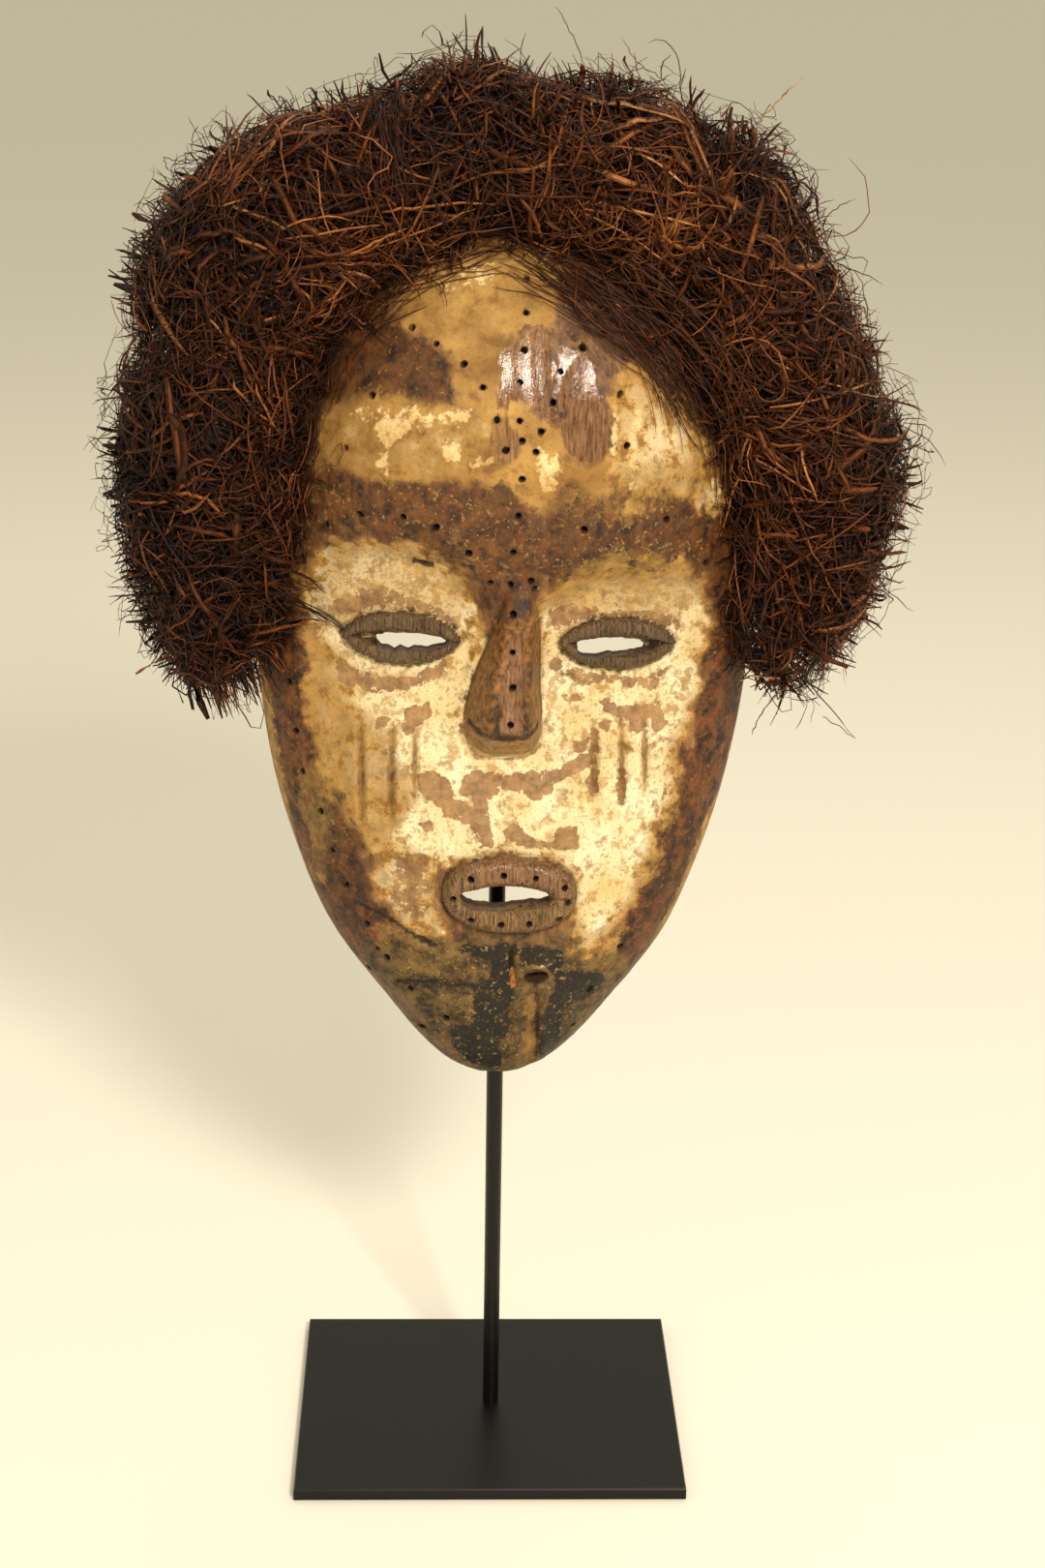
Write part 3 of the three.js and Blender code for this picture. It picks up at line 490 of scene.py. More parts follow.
# Where each paint lies on the face, as outlines in mm: how much, how soft the border is, the corners
paint = {
    "clay": [
        (0.95, 13, [(-67, 176), (-71, 194), (-63, 206), (-50, 212), (-38, 211), (-26, 206), (-17, 198), (-11, 188),
                    (-12, 176), (-14, 160), (-50, 160)]),
        (1.0, 14, [(-52, 164), (-38, 163), (-14, 168), (-15, 150), (-18, 138), (-12, 132), (-14, 112), (-20, 97),
                   (-30, 96), (-42, 102), (-36, 120), (-46, 140), (-58, 156)]),
        (1.0, 12, [(-25, 137), (12, 134), (20, 140), (60, 140), (61, 120), (54, 104), (49, 82), (42, 72), (35, 68),
                   (29, 74), (28, 84), (26, 93), (15, 99), (0, 98), (-20, 94), (-30, 98), (-34, 110)]),
        (1.0, 6, [(-22, 134), (-16, 160), (-12, 176), (-4, 178), (6, 178), (11, 172), (20, 150), (20, 132), (0, 128)]),
        (0.95, 12, [(11, 186), (13, 160), (14, 138), (60, 136), (66, 150), (69, 165), (70, 185), (67, 198), (56, 204),
                    (40, 204), (26, 201), (14, 196)]),
        (0.5, 12, [(26, 76), (48, 84), (43, 70), (35, 60), (28, 62)]),
        (0.5, 12, [(-62, 162), (-40, 164), (-28, 104), (-46, 98), (-60, 122)]),
        (0.4, 12, [(-72, 172), (-50, 174), (-50, 122), (-64, 118)]),
        (0.56, 9, [(-43, 104), (-22, 100), (-24, 84), (-22, 69), (-30, 65), (-38, 71), (-44, 86)]),
        (0.46, 16, [(-66, 243), (-62, 252), (-50, 261), (-34, 260), (-20, 266), (-10, 262), (-8, 250), (-14, 243),
                    (-30, 239), (-46, 238), (-56, 242)]),
        (0.56, 12, [(34, 238), (33, 268), (41, 273), (52, 268), (62, 255), (66, 243), (58, 236), (46, 236)]),
        (0.27, 14, [(-38, 301), (-20, 308), (0, 312), (8, 306), (6, 297), (-6, 288), (-11, 275), (-14, 266), (-22, 269),
                    (-20, 282), (-34, 288), (-42, 295)]),
        (0.4, 5, [(60, 236), (70, 238), (74, 228), (70, 222), (62, 230)]),
        (0.4, 4, [(12, 57), (22, 59), (23, 55), (14, 53)]),
    ],
    "ochre": [
        (0.95, 9, [(-42, 300), (-20, 312), (0, 316), (10, 308), (10, 296), (4, 280), (0, 262), (-8, 258), (-24, 262),
                   (-24, 280), (-40, 290)]),
        (0.9, 9, [(-72, 238), (-68, 256), (-50, 266), (-30, 262), (-10, 268), (10, 262), (32, 248), (36, 236),
                  (30, 226), (6, 226), (-20, 238), (-50, 236)]),
        (0.85, 9, [(-74, 176), (-46, 172), (-42, 156), (-40, 130), (-36, 104), (-44, 96), (-56, 100), (-62, 112),
                   (-66, 130), (-72, 150)]),
        (0.85, 8, [(34, 238), (32, 274), (44, 284), (60, 268), (70, 248), (68, 234), (50, 236)]),
        (0.6, 9, [(14, 200), (24, 212), (40, 216), (60, 214), (70, 200), (60, 196), (30, 200)]),
        (0.7, 8, [(-78, 220), (-66, 216), (-64, 196), (-72, 190), (-80, 205)]),
        (0.6, 7, [(-36, 66), (-10, 60), (-8, 50), (-20, 46), (-34, 50)]),
        (0.6, 7, [(26, 68), (46, 66), (44, 52), (28, 52)]),
        (0.55, 8, [(-74, 128), (-60, 126), (-58, 96), (-62, 78), (-72, 82)]),
        (0.5, 4, [(-11, 186), (-6, 186), (-8, 146), (-14, 146)]),
        (0.5, 4, [(5, 184), (9, 182), (13, 146), (8, 146)]),
        (0.65, 6, [(-22, 216), (-14, 214), (-12, 204), (-18, 202)]),
    ],
    "flecks": [
        (0.42, 4, [(-100, -5), (100, -5), (100, 335), (-100, 335)]),
        (0.55, 10, [(-80, 240), (-40, 238), (0, 232), (40, 240), (72, 242), (74, 205), (50, 208), (14, 200), (-14, 200),
                    (-50, 216), (-78, 204)]),
        (0.5, 10, [(-60, 70), (-20, 64), (20, 64), (52, 60), (30, 8), (4, 0), (-20, 8), (-44, 36)]),
        (0.45, 8, [(-84, 150), (-60, 130), (-50, 96), (-44, 70), (-60, 56), (-80, 90)]),
        (0.4, 8, [(58, 110), (74, 112), (66, 60), (52, 60)]),
        (0.45, 8, [(-66, 290), (-44, 292), (-40, 282), (-62, 276)]),
    ],
    "dark": [
        # painted shadow of the wig across the upper right of the forehead
        (0.95, 9, [(2, 320), (8, 300), (16, 288), (34, 284), (48, 274), (62, 258), (74, 240), (86, 244), (70, 290),
                   (30, 324)]),
        # a dark purple-brown patch, run out to the left as painted shadow of the wig
        (1.0, 7, [(-76, 258), (-72, 278), (-52, 293), (-44, 289), (-34, 284), (-24, 279), (-22, 268), (-14, 262),
                  (-30, 262), (-48, 265)]),
        (0.85, 8, [(-82, 210), (-80, 236), (-60, 239), (-50, 234), (-36, 238), (-20, 240), (-8, 236), (-6, 216),
                   (-12, 203), (-18, 206), (-28, 211), (-40, 217), (-56, 217), (-66, 211), (-74, 200)]),
        (0.8, 6, [(-8, 240), (4, 232), (14, 222), (13, 208), (9, 199), (6, 186), (-6, 186), (-11, 199), (-14, 214)]),
        (0.9, 8, [(8, 226), (18, 236), (34, 230), (36, 243), (56, 245), (69, 241), (73, 222), (72, 208), (62, 206),
                  (46, 213), (30, 211), (14, 203)]),
        (0.62, 5, [(12, 286), (24, 283), (32, 268), (31, 248), (24, 243), (16, 246), (11, 262)]),
        (0.8, 7, [(56, 117), (64, 120), (74, 112), (71, 90), (64, 72), (54, 66), (55, 90)]),
        (0.85, 8, [(-64, 112), (-52, 108), (-45, 84), (-48, 66), (-60, 62), (-66, 90)]),
        (0.65, 4, [(0, 150), (10, 151), (9, 142), (0, 142)]),
        (0.6, 5, [(-70, 216), (-40, 222), (-36, 216), (-66, 206)]),
        (0.7, 3, [(-36, 266), (-22, 265), (-10, 263), (-12, 260), (-30, 261)]),
    ],
    "red": [
        (0.95, 7, [(-93, 236), (-76, 236), (-72, 205), (-70, 172), (-69, 152), (-64, 124), (-56, 108), (-48, 88),
                   (-42, 66), (-46, 46), (-60, 50), (-74, 86), (-80, 104), (-84, 140), (-92, 160)]),
        (0.95, 7, [(71, 236), (93, 236), (92, 160), (87, 128), (76, 100), (66, 70), (54, 50), (42, 42), (41, 58),
                   (47, 74), (53, 90), (58, 112), (63, 127), (69, 142), (71, 165)]),
        (0.85, 3, [(-4, 198), (4, 198), (4, 172), (7, 147), (-7, 147), (-5, 172)]),
        # dark red-brown along the right hairline, painted shadow of the wig
        (0.7, 8, [(36, 284), (54, 282), (76, 250), (84, 250), (60, 300), (20, 316), (10, 300), (24, 290)]),
    ],
    "black": [
        (1.0, 3, [(-14.4, 61.5), (-8.9, 63.9), (-1.3, 62.7), (7.4, 65.2), (9, 60.8), (7.4, 58.4), (6.1, 56),
                  (7.9, 45.6), (6.5, 33.8), (4.1, 20.6), (3, 6), (-1.3, 4), (-7.8, 9.6), (-14.4, 17), (-16.5, 24),
                  (-12.2, 27.3), (-7.8, 27.3), (-6.8, 40), (-5.7, 45.6), (-2.4, 48.2), (-2.4, 53.4), (-5.7, 57),
                  (-12.2, 58.4)]),
        (1.0, 3, [(9, 60.8), (15, 62.7), (23.7, 61.5), (25.3, 57), (24.8, 52.8), (32.4, 51.5), (35.7, 47), (34.6, 42),
                  (30.8, 37.6), (25.9, 33.8), (25, 27.3), (27, 18), (25, 12), (19, 7), (18, 17), (19.5, 30.5), (21, 40),
                  (22, 47), (21, 52), (17, 55), (11.7, 54.5), (9.6, 56.6)]),
        (0.9, 3, [(34, 52), (40, 50), (41, 44), (35, 38), (30, 38)]),
        (0.5, 6, [(-38, 48), (-12, 49), (-8, 41), (-36, 41)]),
        (0.4, 7, [(-30, 36), (-12, 38), (-10, 24), (-24, 18)]),
        (0.42, 6, [(26, 34), (38, 42), (34, 28), (24, 16)]),
        (0.34, 5, [(5, 46), (18, 44), (18, 6), (3, 4)]),
        (0.28, 9, [(-62, 72), (-46, 68), (-40, 50), (-54, 50)]),
    ],
    "olive": [
        (0.8, 3, [(-14, 148), (12, 148), (11, 137), (-12, 136)]),
        (0.6, 8, [(12, 202), (24, 214), (40, 220), (66, 218), (72, 204), (50, 206), (26, 204)]),
        (0.6, 7, [(-74, 128), (-58, 126), (-56, 90), (-70, 82)]),
        (0.7, 6, [(-20, 68), (30, 70), (40, 58), (10, 56), (-24, 58)]),
        (0.95, 9, [(-52, 58), (-30, 66), (0, 62), (30, 66), (50, 56), (44, 30), (24, 4), (2, -4), (-22, 2), (-40, 26)]),
        (0.9, 8, [(-50, 50), (-36, 60), (-20, 54), (-8, 48), (-14, 34), (-12, 20), (-2, 2), (-20, 4), (-36, 22)]),
        (0.9, 8, [(20, 36), (38, 58), (52, 52), (42, 28), (26, 8), (12, 0), (16, 20)]),
        (0.75, 5, [(6, 46), (17, 44), (17, 4), (2, 0)]),
    ],
    "stainAndShade": [
        # tan dirt, and painted shade in the eye sockets under the brows
        (0.9, 10, [(-70, 190), (-60, 212), (-40, 214), (-16, 200), (-14, 180), (-60, 176)]),
        (1.0, 2, [(-16, 150), (13.5, 150), (13.5, 140), (8, 135.4), (0, 133.9), (-9, 135), (-16, 140)]),
        (1.0, 9, [(12, 190), (14, 202), (30, 212), (60, 212), (70, 196), (60, 188)]),
        (0.4, 12, [(-60, 170), (-12, 170), (10, 190), (70, 190), (70, 140), (60, 100), (50, 62), (28, 60), (26, 96),
                   (-20, 96), (-44, 60), (-46, 100), (-62, 140)]),
        (0.75, 9, [(-62, 152), (-40, 156), (-30, 130), (-38, 104), (-48, 100), (-62, 120)]),
        (0.35, 8, [(-46, 104), (-22, 98), (-22, 64), (-44, 62)]),
        (0.6, 8, [(-60, 170), (-18, 168), (-16, 158), (-40, 154), (-60, 158)]),
        (0.38, 10, [(26, 98), (54, 106), (51, 78), (42, 62), (30, 64), (27, 84)]),
        (0.45, 9, [(40, 158), (66, 162), (64, 138), (44, 136)]),
        (0.7, 8, [(30, 226), (66, 230), (70, 250), (60, 244), (36, 244)]),
    ],
    "chips": [
        (0.95, 3, [(-26, 252), (-21, 250), (-20, 244), (-25, 244), (-28, 249)]),
        (0.95, 3, [(-26, 262), (-17, 264), (-18, 259), (-25, 260)]),
        (0.9, 3, [(-49, 255), (-40, 259), (-37, 254), (-45, 248), (-48, 250)]),
        (0.75, 3, [(-18, 246), (-8, 247), (-9, 244), (-16, 243)]),
        (0.8, 3, [(-49, 246), (-44, 246), (-45, 238), (-48, 240)]),
        (0.7, 3, [(31, 262), (34, 262), (34, 247), (31, 250)]),
        (0.8, 3, [(38, 262), (41, 264), (42, 238), (39, 236)]),
        (0.8, 4, [(6, 249), (13, 247), (15, 236), (8, 236)]),
        (0.5, 8, [(-60, 258), (-40, 263), (-22, 262), (-20, 256), (-46, 252)]),
        (0.45, 7, [(-34, 303), (-20, 309), (-8, 311), (-10, 303), (-26, 298)]),
        (0.5, 7, [(50, 262), (58, 252), (60, 244), (52, 246), (48, 256)]),
    ],
    "gold": [
        (0.9, 10, [(-70, 238), (-66, 256), (-50, 266), (-30, 264), (-6, 268), (-4, 244), (-30, 236), (-50, 235)]),
        (0.95, 10, [(-46, 298), (-20, 314), (2, 320), (12, 308), (10, 296), (2, 284), (-6, 268), (-20, 268), (-24, 284),
                    (-42, 290)]),
        (0.45, 8, [(0, 264), (30, 246), (36, 230), (8, 226), (-8, 240)]),
        (0.4, 10, [(34, 238), (32, 272), (44, 280), (62, 260), (70, 242)]),
        (0.55, 10, [(-76, 178), (-58, 174), (-52, 118), (-66, 110)]),
        (0.42, 12, [(-68, 182), (-62, 208), (-36, 212), (-18, 198), (-14, 178), (-38, 186)]),
        (0.36, 12, [(14, 178), (18, 200), (40, 208), (62, 204), (68, 182), (40, 186)]),
        (0.35, 9, [(44, 158), (66, 166), (66, 110), (56, 84), (46, 84), (56, 120)]),
    ],
    "rust": [(0.95, 1.5, [(5.4, 53), (7, 53), (8, 45.5), (6, 45.5)])],
    "mould": [
        (0.5, 8, [(-30, 62), (0, 68), (28, 62), (38, 44), (30, 10), (4, 2), (-18, 12), (-22, 40)]),
        (0.5, 8, [(14, 214), (30, 222), (60, 220), (70, 206), (50, 200), (20, 200)]),
        (0.45, 8, [(-72, 118), (-60, 116), (-56, 90), (-70, 84)]),
    ],
    "polish": [
        (0.95, 5, [(-7, 264), (-6, 280), (1, 290), (8, 288), (11, 276), (8, 264), (0, 262)]),
        (0.95, 4, [(12, 284), (22, 282), (31, 266), (30, 248), (20, 245), (14, 250), (12, 264)]),
        (0.75, 4, [(-10, 262), (-2, 260), (-1, 244), (-6, 243), (-10, 254)]),
        (0.95, 2, [(0, 183), (6, 183), (6.4, 164), (6.9, 148), (-3.6, 148), (-2.6, 164)]),
        (0.95, 3, [(-14, 95), (6, 99), (23, 95), (28, 88), (6, 90), (-12, 88)]),
    ],
}
# Flakes of clay that are gone down to the tan ground under it
paint["flake"] = [
    (1, 2.5, [(-31, 128), (-26, 130), (-21, 128), (-18, 123), (-18, 118), (-24, 117), (-28, 120), (-31, 123)]),
    (1, 2.5, [(-15, 127), (-10, 130), (-4, 129), (-3, 126), (-2, 122), (-6, 119), (-10, 118), (-12, 121), (-16, 122)]),
    (1, 2.5, [(-5, 129), (4, 129), (10, 130.5), (14, 128), (18, 127), (16, 122), (12, 120), (8, 121), (3, 124),
              (-4, 124.5)]),
    (1, 2.5, [(13, 131), (20, 132), (26, 135), (31, 137), (33, 133), (28, 130), (20, 128), (14, 126)]),
    (1, 2.5, [(-24, 119), (-14, 119), (-12, 117), (-5, 120), (-5, 112), (-14, 112), (-20, 113)]),
    (1, 2.5, [(-15, 113), (-5, 115), (-4, 108), (-3, 102), (-8, 101), (-9, 106), (-14, 110)]),
    (1, 2.5, [(0, 110), (6, 110.5), (10, 107), (14, 105), (19, 104), (21, 110), (27, 110), (28, 104), (28, 101),
              (22, 101), (14, 102.5), (8, 103), (2, 105)]),
    (1, 2, [(-31, 109), (-26, 110.5), (-25, 107), (-28, 105.5)]),
    (0.9, 2.5, [(31, 131), (35, 130), (35.5, 123), (32, 121), (30, 126)]),
    (0.85, 2.5, [(42, 132), (45, 130), (44.5, 121), (42, 121)]),
    (1, 2, [(33, 157), (37, 157.5), (40, 153.5), (46, 154), (55, 154), (57, 151.5), (51.5, 149.5), (51, 146), (48, 144),
            (44.5, 145.5), (45, 149.5), (39, 150), (35, 153)]),
    (1, 2, [(52, 150.5), (57, 150), (58.5, 147), (56, 144), (53, 146)]),
    (1, 2, [(33.5, 149.5), (38.5, 148.5), (37.5, 144.5), (34, 145)]),
    (0.9, 2, [(20, 158), (28, 159.5), (27.5, 156), (22, 155)]),
    (1, 2.5, [(-37, 151), (-28, 153.5), (-26.5, 149), (-32, 144), (-36, 146)]),
    (1, 2, [(-37, 146), (-31, 147), (-33.5, 142), (-37, 142.5)]),
    (1, 2, [(-46, 147), (-41.5, 147.5), (-42, 144), (-45.5, 143.5)]),
    (1, 2, [(24.5, 141), (30, 142.5), (29, 137), (25, 136.5)]),
    (0.95, 2.5, [(31, 146), (34, 144), (33, 135), (30, 137)]),
    (0.8, 4, [(-63, 170), (-52, 163), (-35, 162), (-28, 166), (-20, 172), (-24, 163), (-34, 158), (-48, 156.5),
              (-62, 160)]),
    (0.72, 4, [(-62, 190), (-50, 195), (-40, 195), (-32, 191), (-22, 188), (-18, 183), (-28, 187), (-40, 189),
               (-58, 184)]),
    (0.8, 3.5, [(14, 190), (22, 192.5), (34, 190), (50, 191.5), (61, 188), (62, 182), (50, 187), (30, 188.5), (20, 184),
                (15, 183)]),
    (0.8, 3.5, [(18, 167), (27, 162), (36, 163), (44, 161), (54, 161), (58, 168), (48, 164.5), (36, 165.5), (26, 168)]),
    (0.9, 2.5, [(-54, 195.5), (-49, 195), (-50, 191), (-54, 191.5)]),
    (0.75, 3, [(-48, 197), (-40, 196.5), (-39, 190), (-47, 190)]),
    (0.8, 2, [(-62, 188), (-56, 188.5), (-56, 184), (-60, 183.5)]),
    (0.7, 2, [(16, 172), (20, 173), (20, 168), (16, 168)]),
    (0.62, 5, [(-40, 96), (-28, 98), (-24, 84), (-28, 70), (-38, 74)]),
]


def softOutline(x, z, most, soft, corners):  # full inside an outline, none outside it, one half on it
    amount = np.zeros(x.shape)
    cornerX, cornerZ = np.array(corners, float).T
    near = ((x > cornerX.min() - soft) & (x < cornerX.max() + soft)
            & (z > cornerZ.min() - soft) & (z < cornerZ.max() + soft))
    px, pz = x[near], z[near]
    distance, crossings = np.full(px.shape, 1e9), np.zeros(px.shape, int)
    for ax, az, bx, bz in zip(cornerX, cornerZ, np.roll(cornerX, -1), np.roll(cornerZ, -1)):
        dx, dz = bx - ax, bz - az
        t = np.clip(((px - ax) * dx + (pz - az) * dz) / (dx * dx + dz * dz), 0, 1)
        distance = np.minimum(distance, np.hypot(px - ax - t * dx, pz - az - t * dz))
        level = (az > pz) != (bz > pz)
        crossings += level & (px < ax + (pz - az) * dx / (dz if dz else 1e-9))
    signed = np.where(crossings % 2 == 1, distance, -distance)
    amount[near] = most * smoothStep(signed, -soft / 2, soft / 2)
    return amount


def paintAt(x, z, patches, sway):  # outlines pushed about a little, so that no edge runs straight
    atX = x + sway * (unevenness(x, z, 9, 9, 71) + 0.6 * unevenness(x, z, 3.4, 3.4, 72))
    atZ = z + sway * (unevenness(x, z, 9, 9, 73) + 0.6 * unevenness(x, z, 3.4, 3.4, 74))
    return np.maximum.reduce([softOutline(atX, atZ, *patch) for patch in patches])


local = toLocal(readPoints(mask))
x, z = local[:, 0], local[:, 2]
depth, rims = carvedDepth(x, z)
below = depth + local[:, 1]  # how far under the carved front
sways = {"rust": 0.3, "flake": 0.9, "black": 1.2, "chips": 1.2}  # in mm; all others 2.6
for name, patches in paint.items():
    storeValues(mask, name, paintAt(x, z, patches, sways.get(name, 2.6)))
sunken = rims.pop("sunken")
for name, rimNames in [("rim", ["lid", "lid2", "lip"]), ("lid", ["lid", "lid2"])]:
    rise = np.maximum.reduce([rims[rim][0] / maskForm["lid"]["rise"] for rim in rimNames])
    storeValues(mask, name, smoothStep(rise, 0.05, 0.45))
storeValues(mask, "along", sum(rims[name][1] for name in rims))
beyond = np.minimum.reduce([rims[name][2] for name in rims])
left, ridgeLeft, ridgeRight, right = noseLinesAt(z)
within, aboveEnd = np.minimum(x - left, right - x), z - noseEnd(x)
onNose = smoothStep(within, -0.4, 0.5) * smoothStep(aboveEnd, -0.5, 0.3) * (1 - smoothStep(z, 180, 196))
storeValues(mask, "nose", onNose * (0.56 * smoothStep(aboveEnd, 0.5, 3) + 0.44 * smoothStep(aboveEnd, 8.8, 11.3)))
offNose = np.where((aboveEnd > 0) & (z < 188), np.abs(within), 9)
toRidge = np.minimum(np.abs(x - ridgeLeft) + 1.6 * smoothStep(z, 155, 168), np.abs(x - ridgeRight))
offRidge = np.where(z > 145, toRidge, 9)
onFront = local[:, 1] < -2
toHollow = np.abs(local[:, 1] + hollowDepth(x, z, -maskForm["wall"]))
# the walls of the openings and of the holes are darkened as painted shade
inHoles = np.where(onFront & (toHollow > 0.6), smoothStep(below, 0.6, 1.2) * (1 - smoothStep(below, 7, 7.5)), 0)
inHoles = inHoles * (1 - 0.7 * smoothStep(sunken, 0, 0.3))
atHoles = np.zeros(x.shape)  # the brims of the worm holes are dark too
brims = [(atX, atZ, 1.3, 1.0) for atX, atZ in wormHoles] + [(*hole[:3], 0.6 * hole[3] + 0.4) for hole in longHoles]
for atX, atZ, radius, wide in brims:
    off = np.hypot((x - atX) / wide, z - atZ) / radius
    atHoles = np.maximum(atHoles, (0.7 + 0.3 * (radius > 2)) * (1 - smoothStep(off, 0.9, 1.35)) * onFront)
underNose = np.where(within > -0.5, np.abs(aboveEnd + 0.4), 9)
frontEdge = np.where(within > 2, np.abs(aboveEnd - nose["frontEdge"]), 9)
creaseDirtAndShadeParts = [  # dirt and painted shade round the rims, where they slope in, along the nose, its ridge and its front edge, in the openings, cracks and holes
    0.58 * smoothStep(beyond, -1.4, 0) * (1 - smoothStep(beyond, 0.2, 2.6)),
    0.45 * (1 - smoothStep(offNose, 0.2, 1.8)),
    0.25 * (1 - smoothStep(underNose, 0.6, 1.8)),
    0.75 * (1 - smoothStep(frontEdge, 0.4, 2.4)),
    0.62 * (1 - smoothStep(offRidge, 0.4, 3.4)) * (1 - smoothStep(z, 168, 184)),
    0.6 * smoothStep(sunken, 0.6, 1.8), smoothStep(crackDepth(x, z), 0.05, 0.6), inHoles, atHoles]
storeValues(mask, "creaseDirtAndShade", np.maximum.reduce(creaseDirtAndShadeParts))
storeValues(mask, "inside", smoothStep(below, 0.5, 1.6) * (1 - inHoles))
half = np.maximum(widthAlong(angleOf(z)), 1)
edge = half - np.abs(x - centreAlong(z))
onLeft = smoothStep(-x, 20, 50)  # the left wall and the lower right are worn further forward
lowRight = smoothStep(x, 20, 50) * smoothStep(z, 48, 64) * (1 - smoothStep(z, 106, 122))
wornWide = 1 + 1.3 * smoothStep(z, 30, 60) * (1 - smoothStep(z, 130 + 50 * onLeft, 160 + 40 * onLeft))
depthShare = 0.7 - 0.48 * np.maximum(onLeft * smoothStep(z, 85, 120), lowRight)
toEdge = (edge + depthShare * np.maximum(-local[:, 1], 0)) / wornWide
storeValues(mask, "edgeWear", (1 - smoothStep(toEdge, 2.2, 5)) * (z < 215))
# the scars and the chin groove are painted tan-brown in their hollow: clay worn off there, and painted shade
cuts = [(line, maskForm["scarHalf"]) for line in maskForm["scars"]] + [maskForm["chinGroove"]]
storeValues(mask, "furrowBareAndShade", -sum(np.minimum(groove(x, z, line, halfCut, 1), 0) for line, halfCut in cuts))
print("mask: paint laid out")


# Finishes
def linear(hexColour):
    parts = [int(hexColour[i:i + 2], 16) / 255 for i in (1, 3, 5)]
    return [*(part / 12.92 if part <= 0.04045 else ((part + 0.055) / 1.055) ** 2.4 for part in parts), 1.0]


def addNode(tree, kind, settings=None, links=None, outlet=0):
    node = tree.nodes.new("ShaderNode" + kind)
    for name, value in (settings or {}).items():
        if isinstance(name, int) or name in node.inputs:
            node.inputs[name].default_value = value
        else:
            setattr(node, name, value)
    for socket, source in (links or {}).items():
        tree.links.new(source, node.inputs[socket])
    return node.outputs[outlet]


def newFinish(name, settings):
    finish = bpy.data.materials.new(name)
    finish.use_nodes = True
    tree = finish.node_tree
    surface = tree.nodes["Principled BSDF"]
    for socket, value in settings.items():
        surface.inputs[socket].default_value = value
    return finish, tree, surface


# Light wood, carved with an adze, rubbed with clay and dark pigment and worn by handling:
# chalky where the clay sits, waxy where hands took it off.
paintedWood, tree, surface = newFinish("clay_rubbed_carved_wood", {"IOR": 1.5, "Specular IOR Level": 0.35})
place = addNode(tree, "TexCoord", outlet="Object")
grainPlace = addNode(tree, "Mapping", {"Scale": (1, 1, 0.06)}, {0: place})
noises = {}
for name, size, detail, rough, swing, at in [
        ("cloudy", 14, 4, 0.62, 0.17, place), ("patchy", 5, 6, 0.65, 0.14, place),
        ("ragged", 2.4, 5, 0.62, 0.17, place),
        ("worn", 7, 9, 0.74, 0.1, place), ("dots", 1.8, 5, 0.7, 0.16, place), ("speckle", 0.8, 3, 0.62, 0.18, place),
        ("streaky", 2.5, 5, 0.62, 0.16, grainPlace), ("grain", 0.8, 4, 0.62, 0.18, grainPlace)]:
    # the sizes are in mm, and each noise is stretched to fill 0 to 1
    plain = addNode(tree, "TexNoise", {"Scale": 1000 / size, "Detail": detail, "Roughness": rough}, {"Vector": at})
    noises[name] = addNode(tree, "MapRange", {1: 0.5 - swing, 2: 0.5 + swing}, {0: plain})

colour = addNode(tree, "Mix", {"data_type": "RGBA", 6: linear("#4a2c18"), 7: linear("#8a5f34")},
                 {0: noises["streaky"]}, outlet=2)  # the wood itself
